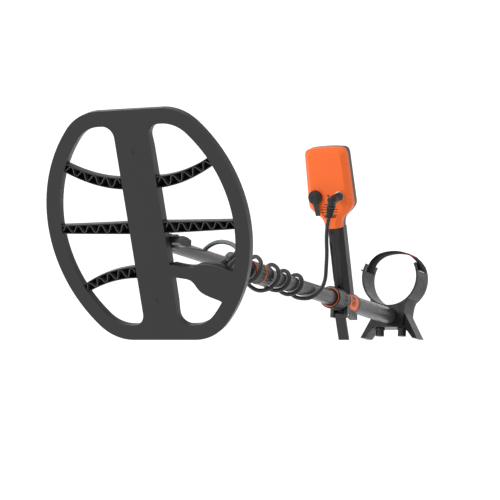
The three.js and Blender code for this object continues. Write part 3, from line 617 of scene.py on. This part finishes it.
def rounded(points, rounds=2):
    """Corner cutting, so that an outline of listed points runs smooth."""
    for _ in range(rounds):
        points = [
            (a[0] + (b[0] - a[0]) * t, a[1] + (b[1] - a[1]) * t)
            for a, b in zip(points, points[1:] + points[:1]) for t in (0.25, 0.75)]
    return points


def corner_fill(side, rim_edge, inward, low, high):
    """The stock left in an opening's corner, outside a fillet between the spine and the rim."""
    y0, z0 = side * (SPINE / 2 - 1), rim_edge - inward * 1
    centre_y, centre_z = side * (SPINE / 2 + FILLET), rim_edge + inward * FILLET
    arc = []
    for k in range(17):
        angle = math.pi / 2 * k / 16
        arc.append((
            centre_y - side * FILLET * math.cos(angle),
            centre_z - inward * FILLET * math.sin(angle)))
    return prism([(y0, centre_z), *arc, (centre_y, z0), (y0, z0)], low, high)


def coil_gaps(low, high):
    """The openings of the coil as one cutter: inside the rim, off the spine, its fillets and the pod."""
    half = SPINE / 2
    fills = [
        ("DIFFERENCE", corner_fill(side, rim_edge, inward, low - 1, high + 1))
        for side in (1, -1) for rim_edge, inward in ((RIM, 1), (LENGTH - RIM, -1))]
    return carve(
        prism(coil_outline(RIM), low, high),
        ("DIFFERENCE", box_block((low - 1, -half, -5), (high + 1, half, LENGTH + 5))),
        ("DIFFERENCE", prism(rounded(POD), low - 1, high + 1)), *fills)


cover = carve(prism(coil_outline(0), COVER_BACK, 0), ("DIFFERENCE", coil_gaps(COVER_BACK - 1, 1)))
DIMPLE_OFFSET = 106.5
DIMPLE_PROFILE = [(-0.7, 2.9), (-0.2, 3.3), (1, 3.8)]
for up in (MIDDLE - DIMPLE_OFFSET, MIDDLE + DIMPLE_OFFSET):
    dimple = lathe(DIMPLE_PROFILE, 32, 0, up, closed=False)
    cover = carve(cover, ("DIFFERENCE", dimple))
piece("coil_cover_plate", settle(to_mesh("coil_cover_plate", cover, COIL), 0.9, 3), "coil_grey",
      "coil", ["coil_cover"])

# The back: rim and spine, ridge, pod, the gland of the lead and the two ears of the pivot.
EAR = (11.2, 17)
PIVOT_BACK = 33.4
PIVOT_UP = 133.2
back_front = COVER_BACK - PARTING
back = carve(prism(coil_outline(0), BACK, back_front), ("DIFFERENCE", coil_gaps(BACK - 1, 0)))
POD_RISE = 5
RIDGE_RISE = 8.5
inside_rim = prism(coil_outline(RIM / 2), BACK - POD_RISE, back_front)
pod_block = carve(prism(rounded(POD), BACK - POD_RISE, back_front), ("INTERSECT", inside_rim))
ridge = [(-22, 34), (22, 34), (24, 60), (24, 270), (22, 296), (-22, 296), (-24, 270), (-24, 60)]
back_parts = [back, pod_block, prism(rounded(ridge, 1), BACK - RIDGE_RISE, BACK + 1)]


def ear_outline():
    root = [(BACK, PIVOT_UP - 20), (-PIVOT_BACK + 7, PIVOT_UP - 12.5)]
    round_end = [
        (-PIVOT_BACK - 11.5 * math.sin(a), PIVOT_UP - 11.5 * math.cos(a))
        for a in (math.pi * k / 14 for k in range(15))]
    return root + round_end + [(-PIVOT_BACK + 7, PIVOT_UP + 12.5), (BACK, PIVOT_UP + 20)]


back_parts += [prism(ear_outline(), *EAR, axis="y"), prism(ear_outline(), -EAR[1], -EAR[0], axis="y")]


def on_pod_back(along):
    return Vector((BACK - 11, 90 + 0.82 * along, 96 + 0.57 * along))


def spun(profile, start, aim, sides=32):
    """A body turned about the line from start towards aim, from (distance, radius) points."""
    direction = (aim - start).normalized()
    turn = Vector((1, 0, 0)).rotation_difference(direction).to_matrix().to_4x4()
    shape = lathe(profile, sides, closed=False)
    shape.transform(Matrix.Translation(start) @ turn)
    return shape


back_parts.append(spun([(0, 6.2), (0.6, 6.6), (8.6, 6.6), (9, 6.2)], on_pod_back(-9), on_pod_back(0)))
piece("coil_back", settle(to_mesh("coil_back", back_parts, COIL), 0.9, 3), "coil_grey",
      "coil", ["coil_shell"])

# Open ribs: a floor and two thin walls, wider at the spine, with a thin wave of webbing inside.
RIB_SPINE = 17
RIB_RIM = 12
RIB_WALL = 1.4
RIB_FLOOR = BACK + 1.6
RIB_TOP = -0.8
RIB_MIDDLE = [(24, 163), (80, 163), (144, 164)]
RIB_UPPER = [(24, 227), (76, 228.5), (128, 262)]
RIB_LOWER = [(24, 99), (76, 99.5), (128, 68)]
WEB_PERIOD = 18.5
WEB_THICK = 1.0
WEB_SQUARE = 0.75


def bezier(points, t):
    (ay, az), (by, bz), (cy, cz) = points
    return (ay * (1 - t) ** 2 + 2 * by * t * (1 - t) + cy * t * t,
            az * (1 - t) ** 2 + 2 * bz * t * (1 - t) + cz * t * t)


def rib_stations(centre, side, steps, start, stop):
    """Places along a rib: (y, z, half width, distance along, unit normal)."""
    rows = []
    travelled = 0
    before = None
    for i in range(steps + 1):
        t = start + (stop - start) * i / steps
        y, z = bezier(centre, t)
        y2, z2 = bezier(centre, t + 0.001)
        run = math.hypot(y2 - y, z2 - z)
        normal = (-side * (z2 - z) / run, (y2 - y) / run)
        if before:
            travelled += math.hypot(y - before[0], z - before[1])
        before = (y, z)
        rows.append((side * y, z, (RIB_SPINE + (RIB_RIM - RIB_SPINE) * t) / 2, travelled, normal))
    return rows


def rib_channel(rows):
    section = lambda half: [
        (BACK, -half), (RIB_TOP - 0.4, -half), (RIB_TOP, -half + 0.4), (RIB_TOP, -half + RIB_WALL),
        (RIB_FLOOR, -half + RIB_WALL + 0.3), (RIB_FLOOR, half - RIB_WALL - 0.3),
        (RIB_TOP, half - RIB_WALL), (RIB_TOP, half - 0.4), (RIB_TOP - 0.4, half), (BACK, half)]
    return loft([
        [(x, y + n[0] * off, z + n[1] * off) for x, off in section(half)] for y, z, half, _, n in rows])


def rib_shade_skin(rows):
    """A near-black skin over the inside of a rib's channel: painted shade for the hollow."""
    skin = 0.3
    wall = lambda half: half - RIB_WALL - 0.05
    section = lambda half: [
        (RIB_TOP - 0.1, -wall(half)), (RIB_FLOOR + 0.05, -wall(half) + skin),
        (RIB_FLOOR + 0.05, wall(half) - skin), (RIB_TOP - 0.1, wall(half)),
        (RIB_TOP - 0.1, wall(half) - skin), (RIB_FLOOR + 0.05 + skin, wall(half) - 2 * skin),
        (RIB_FLOOR + 0.05 + skin, -wall(half) + 2 * skin), (RIB_TOP - 0.1, -wall(half) + skin)]
    return loft([
        [(x, y + n[0] * off, z + n[1] * off) for x, off in section(half)] for y, z, half, _, n in rows])


def rib_web(rows):
    """A thin wall that waves from side to side along the channel, of one thickness all the way."""
    line = []
    for y, z, half, travelled, n in rows:
        wave = math.sin(2 * math.pi * travelled / WEB_PERIOD)
        swing = (half - RIB_WALL - WEB_THICK / 2) * math.copysign(abs(wave) ** WEB_SQUARE, wave)
        line.append((y + n[0] * swing, z + n[1] * swing))
    rings = []
    for k, (y, z) in enumerate(line):
        (y0, z0), (y1, z1) = line[max(k - 1, 0)], line[min(k + 1, len(line) - 1)]
        run = math.hypot(y1 - y0, z1 - z0)
        dy, dz = -(z1 - z0) / run * WEB_THICK / 2, (y1 - y0) / run * WEB_THICK / 2
        rings.append([
            (RIB_FLOOR + 0.2, y - dy, z - dz), (RIB_TOP - 1, y - dy, z - dz),
            (RIB_TOP - 1, y + dy, z + dz), (RIB_FLOOR + 0.2, y + dy, z + dz)])
    return loft(rings)


RIBS = [("middle_left", RIB_MIDDLE, 1, 0.93), ("middle_right", RIB_MIDDLE, -1, 0.93),
        ("upper_left", RIB_UPPER, 1, 0.95), ("upper_right", RIB_UPPER, -1, 0.95),
        ("lower_right", RIB_LOWER, -1, 0.95)]
for rib, centre, side, stop in RIBS:
    walls = rib_channel(rib_stations(centre, side, 24, 0.02, stop))
    piece("rib_" + rib, settle(to_mesh("rib_" + rib, walls, COIL)), "coil_grey", "coil", ["coil_shell"])
    # Painted shade: a near-black skin inside each rib's channel.
    painted_channel_shade = rib_shade_skin(rib_stations(centre, side, 24, 0.03, stop - 0.01))
    piece("rib_shade_skin_" + rib, settle(to_mesh("rib_shade_skin_" + rib, painted_channel_shade, COIL)), "near_black_shade", "coil")
    web = rib_web(rib_stations(centre, side, 200, 0.06, stop - 0.01))
    piece("rib_web_" + rib, settle(to_mesh("rib_web_" + rib, web, COIL), sharp=50), "web_grey", "coil")


# Strain relief of the lead on the pod: soft sleeve with four ring grooves.
def ribbed_relief(length, start_radius, end_radius, grooves):
    profile = [(0, start_radius * 0.9), (0.4, start_radius)]
    for k in range(grooves):
        for part, depth in ((0.1, 0), (0.45, 0), (0.55, 1.5), (0.85, 1.5), (0.95, 0)):
            along = length * (0.1 + 0.84 * (k + part) / grooves)
            radius = start_radius + (end_radius - start_radius) * along / length
            profile.append((along, radius - depth))
    profile += [(length - 0.5, end_radius), (length, end_radius - 0.6)]
    return profile


RELIEF_LENGTH = 17.7
relief = spun(ribbed_relief(RELIEF_LENGTH, 5.6, 4.4, 4), on_pod_back(0.3), on_pod_back(RELIEF_LENGTH))
piece("pod_relief", settle(to_mesh("pod_relief", relief, COIL), sharp=40), "black_rubber",
      "coil", ["lead_relief"])

# ---------- pivot ----------

for node, width, finish in (("pivot_bolt", 0.4, "bright_metal"), ("wing_knob", 1.0, "shaft_black"),
                            ("yoke", 0.7, "shaft_black"), ("rubber_washer_left", 0.3, "black_rubber"),
                            ("rubber_washer_right", 0.3, "black_rubber")):
    refine(node, width, finish, 3)

# ---------- shaft tubes and locks ----------

LOWER = {"radius": 9.8, "wall": 1.4, "front": 26, "rear": 500}
MIDDLE_TUBE = {"radius": 12.9, "wall": 1.6, "front": 330, "rear": 740}
UPPER = {"radius": 14.6, "wall": 1.4, "front": 618, "rear": 884}


def tube_profile(spec):
    outer = spec["radius"]
    inner = outer - spec["wall"]
    front, rear = -spec["front"], -spec["rear"]
    return [(rear, inner + 0.3), (rear, outer - 0.3), (rear + 0.3, outer), (front - 0.3, outer),
            (front, outer - 0.3), (front, inner + 0.3), (front - 0.3, inner), (rear + 0.3, inner)]


for node, spec, body in (("lower_tube", LOWER, "lower_stem"), ("middle_tube", MIDDLE_TUBE, "middle_stem"),
                         ("upper_tube", UPPER, "root")):
    mesh = to_mesh(node, lathe(tube_profile(spec), 72), SHAFT)
    piece(node + "_detail", settle(mesh), "tube_grey", body, [node])


RING_GROOVE = 1.35


def lock_sleeve(radius, front, rear, bore, mouth, ring_stations, flutes, flute_depth):
    """A twist lock: bevelled ends, ring grooves, and lengthwise grip ribs in between."""
    sides = flutes * 8
    ridge = lambda angle: flute_depth * (0.5 + 0.5 * math.copysign(
        abs(math.cos(flutes * angle)) ** 0.4, math.cos(flutes * angle))) - flute_depth
    plain = [(-rear, bore + 0.4), (-rear, radius - 0.9), (-rear + 0.8, radius - 0.1), (-rear + 3.2, radius)]
    stops = sorted([-station for station in ring_stations])
    spans = []
    low = -rear + 3.2
    for stop in stops + [-front - 3.6]:
        spans.append((low, stop - (RING_GROOVE if stop in stops else 0)))
        low = stop + RING_GROOVE
    rings = [ring_x(x, r, sides) for x, r in plain]
    for a, b in spans:
        rings.append(ring_x(a, radius, sides))
        rings.append(ring_x(a + 0.8, radius, sides, ripple=ridge))
        rings.append(ring_x(b - 0.8, radius, sides, ripple=ridge))
        rings.append(ring_x(b, radius, sides))
        if b < -front - 4:
            rings.append(ring_x(b, radius - 1.7, sides))
            rings.append(ring_x(b + 2 * RING_GROOVE, radius - 1.7, sides))
            rings.append(ring_x(b + 2 * RING_GROOVE, radius, sides))
    tail = [
        (-front - 0.9, radius - 0.2), (-front, radius - 1.2), (-front, mouth + 0.5),
        (-front - 0.5, mouth), (-front - 3, mouth), (-front - 3.6, bore), (-rear + 0.4, bore)]
    rings += [ring_x(x, r, sides) for x, r in tail]
    return loft(rings, closed=True)


LOCK_RINGS = [279.7, 315]
TWIST_LOCK = {
    "radius": 16.7, "front": 270, "rear": 343, "bore": 14.9, "mouth": 10.2,
    "ring_stations": LOCK_RINGS, "flutes": 18, "flute_depth": 0.55,
}
GRIP_LOCK = {
    "radius": 18.8, "front": 597, "rear": 633, "bore": 15, "mouth": 13.2,
    "ring_stations": [], "flutes": 20, "flute_depth": 0.6,
}
twist = lock_sleeve(**TWIST_LOCK)
piece("twist_lock_detail", settle(to_mesh("twist_lock", twist, SHAFT), sharp=35), "shaft_black",
      "twist_lock", ["twist_lock"])
handle = lock_sleeve(**GRIP_LOCK)
piece("grip_lock_detail", settle(to_mesh("grip_lock", handle, SHAFT), sharp=35), "shaft_black",
      "grip_lock", ["grip_lock"])


def seal(station, radius):
    """A soft-edged seal ring, just proud of the sleeve."""
    inner, half = 15.3, 1.1
    section = [(-half, inner), (-half, radius - 0.9), (-half * 0.6, radius - 0.15), (0, radius),
               (half * 0.6, radius - 0.15), (half, radius - 0.9), (half, inner)]
    return lathe([(-station + x, r) for x, r in section], 64)


RING_RADIUS = 17.0
for node, station in zip(("lock_ring_front", "lock_ring_rear"), LOCK_RINGS):
    mesh = to_mesh(node, seal(station, RING_RADIUS), SHAFT)
    piece(node + "_detail", settle(mesh, sharp=40), "orange_plastic", "twist_lock", [node])
face_ring = [(-599, 15.2), (-599, 16.4), (-597.1, 16.4), (-596.8, 16.2), (-596.8, 15.4), (-597.1, 15.2)]
piece("grip_lock_ring_detail", settle(to_mesh("grip_lock_ring", lathe(face_ring, 64), SHAFT), sharp=40),
      "orange_plastic", "grip_lock", ["grip_lock_ring"])
for node in ("lock_seat", "lock_rear_ring", "tube_plug"):
    refine(node, 0.5, "shaft_black")

# ---------- housing, stand and label ----------

refine("shaft_housing", 0.8, "shaft_black", 3)
refine("stand_leg", 1.6, "leg_grey", 3)
refine("stand_pin", 0.3, "bright_metal")
refine("housing_label", 0.15, "orange_plastic")

LABEL_RADIUS = 17.72


def label_mark(station, low, high, width):
    """A thin printed bar on the label, from low to high degrees above the left side."""
    steps = 10
    inner, outer = [], []
    for i in range(steps + 1):
        angle = math.radians(low + (high - low) * i / steps)
        inner.append(((LABEL_RADIUS - 0.1) * math.cos(angle), (LABEL_RADIUS - 0.1) * math.sin(angle)))
        outer.append(((LABEL_RADIUS + 0.05) * math.cos(angle), (LABEL_RADIUS + 0.05) * math.sin(angle)))
    return prism(outer + inner[::-1], -station - width / 2, -station + width / 2)


MARK_STATIONS = (654, 658, 662, 666)
MARK_STARTS = (-26, 4)
MARK_SPAN = 26
MARK_WIDTH = 2.2
marks = [
    label_mark(station, low, low + MARK_SPAN, MARK_WIDTH)
    for station in MARK_STATIONS for low in MARK_STARTS]
piece("label_marks", settle(to_mesh("label_marks", marks, SHAFT)), "label_mark", "root")

# ---------- arm cuff ----------

refine("armrest", 1.0, "cuff_grey", 3, name="armrest_detail")
for side in ("left", "right"):
    refine("clamp_screw_" + side, 0.6, "shaft_black")
CUFF_FRONT = 858
CUFF_REAR = 911
CUFF_CENTRE = 70
STRAP_HALF = 16
SLOT_UP = CUFF_CENTRE + 13.2


def strap_path():
    """Middle line of the strap, seen along the shaft: a tab outside the right slot, in and up over the arm,
    then outside the left end of the cuff, in through its slot and folded up again."""
    tab = [(-60.5, SLOT_UP + 2.2), (-56.5, SLOT_UP - 0.3), (-52, SLOT_UP - 0.4)]
    over = [(-48, SLOT_UP + 2.5), (-46.2, SLOT_UP + 8), (-42.6, SLOT_UP + 15.5), (-35.5, SLOT_UP + 23.5),
            (-26, SLOT_UP + 29.6), (-14, SLOT_UP + 33), (0, SLOT_UP + 34.4), (14, SLOT_UP + 33.3),
            (27, SLOT_UP + 29.6), (37, SLOT_UP + 24), (45, SLOT_UP + 16.6), (51, SLOT_UP + 8),
            (53.4, SLOT_UP + 2.6), (52.6, SLOT_UP), (50.4, SLOT_UP)]
    back_up = [(47.6, SLOT_UP + 2.4), (46.4, SLOT_UP + 7.5), (43, SLOT_UP + 14)]
    return [Vector((0, y, z)) for y, z in tab + over + back_up]


def band(path, half_width, thick, middle):
    """A woven band with rounded edges and a UV map in metres, along a path in the plane x = 0."""
    shape = bmesh.new()
    uv = shape.loops.layers.uv.new("UVMap")
    edge = thick * 0.42
    section = [(-half_width, 0), (-half_width + edge, thick / 2), (0, thick / 2 + 0.02),
               (half_width - edge, thick / 2), (half_width, 0), (half_width - edge, -thick / 2),
               (0, -thick / 2 - 0.02), (-half_width + edge, -thick / 2)]
    rows, reach = [], 0
    for i, point in enumerate(path):
        ahead = path[min(i + 1, len(path) - 1)] - path[max(i - 1, 0)]
        normal = Vector((0, -ahead.z, ahead.y)).normalized()
        reach += (point - path[i - 1]).length if i else 0
        row = [shape.verts.new(Vector((middle + x, 0, 0)) + point + normal * off) for x, off in section]
        rows.append((row, reach))
    count = len(section)
    for (low, low_at), (high, high_at) in zip(rows, rows[1:]):
        for i in range(count):
            j = (i + 1) % count
            face = shape.faces.new((low[i], low[j], high[j], high[i]))
            across = ((low_at, section[i][0]), (low_at, section[j][0]),
                      (high_at, section[j][0]), (high_at, section[i][0]))
            for loop, (along, x) in zip(face.loops, across):
                loop[uv].uv = (along * MM, x * MM)
    shape.faces.new([v for v in reversed(rows[0][0])])
    shape.faces.new(rows[-1][0])
    return shape


strap_middle = -(CUFF_FRONT + CUFF_REAR) / 2
strap_line = centripetal(strap_path(), 5)
strap = band(strap_line, STRAP_HALF, 1.7, strap_middle)
piece("arm_strap_webbing", settle(to_mesh("arm_strap", strap, SHAFT), sharp=60), "strap_webbing",
      "armrest", ["arm_strap"])


# A plain sewn tag on the outside of the strap, over its left shoulder.
tag_line = [
    point + Vector((0, point.y, point.z - CUFF_CENTRE)).normalized() * 1.3
    for point in strap_line if 25 < point.y < 36 and point.z > CUFF_CENTRE + 30]
tag = band(tag_line, STRAP_HALF + 0.3, 0.8, strap_middle)
piece("strap_tag", settle(to_mesh("strap_tag", tag, SHAFT), sharp=60), "orange_plastic", "armrest")

# ---------- grip ----------

for side in ("left", "right"):
    refine("grip_shell_" + side, 1.2, "shaft_black", 3)
    refine("grip_pad_" + side, 0.4, "pad", 3)
for node in ("grip_screw_1", "grip_screw_2"):
    refine(node, 0.3, "dark_metal")

# ---------- control box ----------

refine("box_shell", 0.45, "orange_plastic", 3, 28)
refine("box_front", 0.8, "shaft_black", 3, 28)
refine("coil_socket", 0.4, "bright_metal", 3)
refine("headphone_socket", 0.3, "bright_metal")
refine("display_window", 0.4, "display_glass")
for name in ("power", "menu", "back", "minus", "plus"):
    refine("button_" + name, 0.8, "black_rubber", 3)

# Plain generic segments on the display: a scale of bars, a large number field and a battery block.
SCREEN_BACK = -8.06


def screen_bar(y0, y1, z0, z1):
    return box_block((SCREEN_BACK, y0, z0), (SCREEN_BACK + 0.05, y1, z1))


segments = [screen_bar(-26 + 4.4 * k, -23.4 + 4.4 * k, 247, 251) for k in range(12)]
segments += [screen_bar(-14, 14, z, z + 2.4) for z in (240, 226, 212)]
segments += [screen_bar(y, y + 2.4, z, z + 10) for y in (-16.8, 14.4) for z in (215.5, 229)]
segments += [screen_bar(-26 + 5 * k, -22.5 + 5 * k, 201, 204) for k in range(3)]
piece("display_segments", settle(to_mesh("display_segments", segments, GRIP)), "display_mark", "root")

# Dark seal round the small microphone hole.
MICROPHONE_Z = 187
seal_section = [(19, 1.2), (19, 1.9), (20.1, 1.9), (20.1, 1.2)]
seal_ring = lathe(seal_section, 24, 0, MICROPHONE_Z)
piece("microphone_seal", settle(to_mesh("microphone_seal", seal_ring, GRIP)), "black_rubber", "root")

# Headphone cap: stepped rings with a dimple, and a tongue hanging from it.
CAP_Y = -22
CAP_Z = 185.5
FACE = 20
cap_profile = [
    (FACE - 3, 2.7), (FACE + 1.7, 2.9), (FACE + 1.8, 11.4), (FACE + 2.4, 12), (FACE + 6.2, 12),
    (FACE + 7.2, 11.2), (FACE + 7.3, 9.6), (FACE + 6.9, 9.2), (FACE + 6.9, 8.6), (FACE + 7.9, 8.1),
    (FACE + 8.7, 7.2), (FACE + 8.8, 5.6), (FACE + 8.3, 5.2), (FACE + 8.3, 4.6), (FACE + 8.9, 4.2),
    (FACE + 9, 2.6), (FACE + 8.2, 2), (FACE + 8, 0.6)]
cap = lathe(cap_profile, 56, CAP_Y, CAP_Z, closed=False)
TONGUE_LENGTH = 31
tongue_outline = [
    (CAP_Y - 4.5, CAP_Z), (CAP_Y - 1.5, CAP_Z - TONGUE_LENGTH),
    (CAP_Y + 6.5, CAP_Z - TONGUE_LENGTH), (CAP_Y + 5, CAP_Z)]
tongue = prism(tongue_outline, FACE + 5.5, FACE + 6.9)
piece("headphone_cap_detail", settle(to_mesh("headphone_cap", [cap, tongue], GRIP), 0.3, 2, 30),
      "black_rubber", "headphone_cap", ["headphone_cap"])

# Plug: knurled nut, elbow, ribbed strain relief leaning towards the shaft.
PLUG_HEAD = 53
RELIEF_TURN = math.radians(18)


def on_relief(distance):
    return Vector((PLUG_HEAD, SOCKET_Y - distance * math.sin(RELIEF_TURN),
                   SOCKET_Z - distance * math.cos(RELIEF_TURN)))


knurl = lambda angle: 0.3 * math.cos(24 * angle)
nut_rings = [ring_x(x, r, 96, SOCKET_Y, SOCKET_Z, ripple=knurl if rough else None) for x, r, rough in (
    (FACE + 5, 3.7, False), (FACE + 5, 6.0, False), (FACE + 5.6, 6.6, False), (FACE + 7, 6.6, True),
    (FACE + 18, 6.6, True), (FACE + 19, 6.2, False), (FACE + 22, 6.0, False), (FACE + 22, 3.7, False))]
piece("plug_nut_detail", settle(to_mesh("plug_nut", loft(nut_rings, closed=True), GRIP), sharp=35),
      "shaft_black", "plug_nut", ["plug_nut"])
stem_profile = [(FACE + 2.3, 3), (FACE + 2.5, 3.2), (FACE + 22.5, 3.2), (FACE + 22.8, 3)]
head_profile = [(42.3, 6.6), (42.9, 7.3), (57, 7.3), (59.6, 6), (60.4, 4.2)]
elbow_parts = [
    lathe(stem_profile, 32, SOCKET_Y, SOCKET_Z, False),
    lathe(head_profile, 48, SOCKET_Y, SOCKET_Z, False),
    spun([(0, 7.1), (5, 7.1), (9.4, 6.4), (10, 5.8)], on_relief(0), on_relief(10)),
]
piece("plug_elbow_detail", settle(to_mesh("plug_elbow", elbow_parts, GRIP), sharp=35), "shaft_black",
      "root", ["plug_elbow"])
relief = spun(ribbed_relief(19.7, 7.3, 5.4, 5), on_relief(10.3), on_relief(30))
piece("plug_relief_detail", settle(to_mesh("plug_relief", relief, GRIP), sharp=40), "black_rubber",
      "root", ["plug_relief"])

# ---------- studio ----------

SKY_STRENGTH = 1.2

world = bpy.data.worlds.new("studio")
scene.world = world
world.use_nodes = True
sky = world.node_tree
parts = sky.nodes.new("ShaderNodeSeparateXYZ")
sky.links.new(sky.nodes.new("ShaderNodeTexCoord").outputs["Generated"], parts.inputs["Vector"])


def sky_ramp(source, low, high, to_low, to_high):
    ramp = sky.nodes.new("ShaderNodeMapRange")
    ramp.interpolation_type = "SMOOTHSTEP"
    for key, number in (("From Min", low), ("From Max", high), ("To Min", to_low), ("To Max", to_high)):
        ramp.inputs[key].default_value = number
    sky.links.new(source, ramp.inputs["Value"])
    return ramp.outputs["Result"]


def sky_product(a, b):
    node = sky.nodes.new("ShaderNodeMath")
    node.operation = "MULTIPLY"
    sky.links.new(a, node.inputs[0])
    sky.links.new(b, node.inputs[1])
    return node.outputs[0]


# White all round, dimmer overhead, in front of the coil and on the object's left.
overhead = sky_ramp(parts.outputs["Z"], 0.25, 0.9, 1.0, 0.4)
in_front = sky_ramp(parts.outputs["X"], -0.3, 0.6, 1.0, 0.85)
on_left = sky_ramp(parts.outputs["Y"], 0.25, 0.8, 1.0, 0.5)
product = sky_product(sky_product(overhead, in_front), on_left)
backdrop = sky.nodes["Background"]
backdrop.inputs["Color"].default_value = (1, 1, 1, 1)
strength = sky.nodes.new("ShaderNodeMath")
strength.operation = "MULTIPLY"
strength.inputs[1].default_value = SKY_STRENGTH
sky.links.new(product, strength.inputs[0])
sky.links.new(strength.outputs[0], backdrop.inputs["Strength"])


def lamp(name, at, aim, size, power):
    light = bpy.data.lights.new(name, "AREA")
    light.energy = power
    light.size = size
    holder = bpy.data.objects.new(name, light)
    scene.collection.objects.link(holder)
    holder.location = at
    holder.rotation_mode = "QUATERNION"
    holder.rotation_quaternion = (Vector(aim) - Vector(at)).to_track_quat("-Z", "Y")


lamp("overhead", (0.1, -0.3, 2.4), (0.1, 0, 0.1), 1.6, 10)
lamp("front_right", (2.6, -1.2, 1.3), (0.1, 0, 0.15), 1.2, 24)
scene.view_settings.view_transform = "Standard"
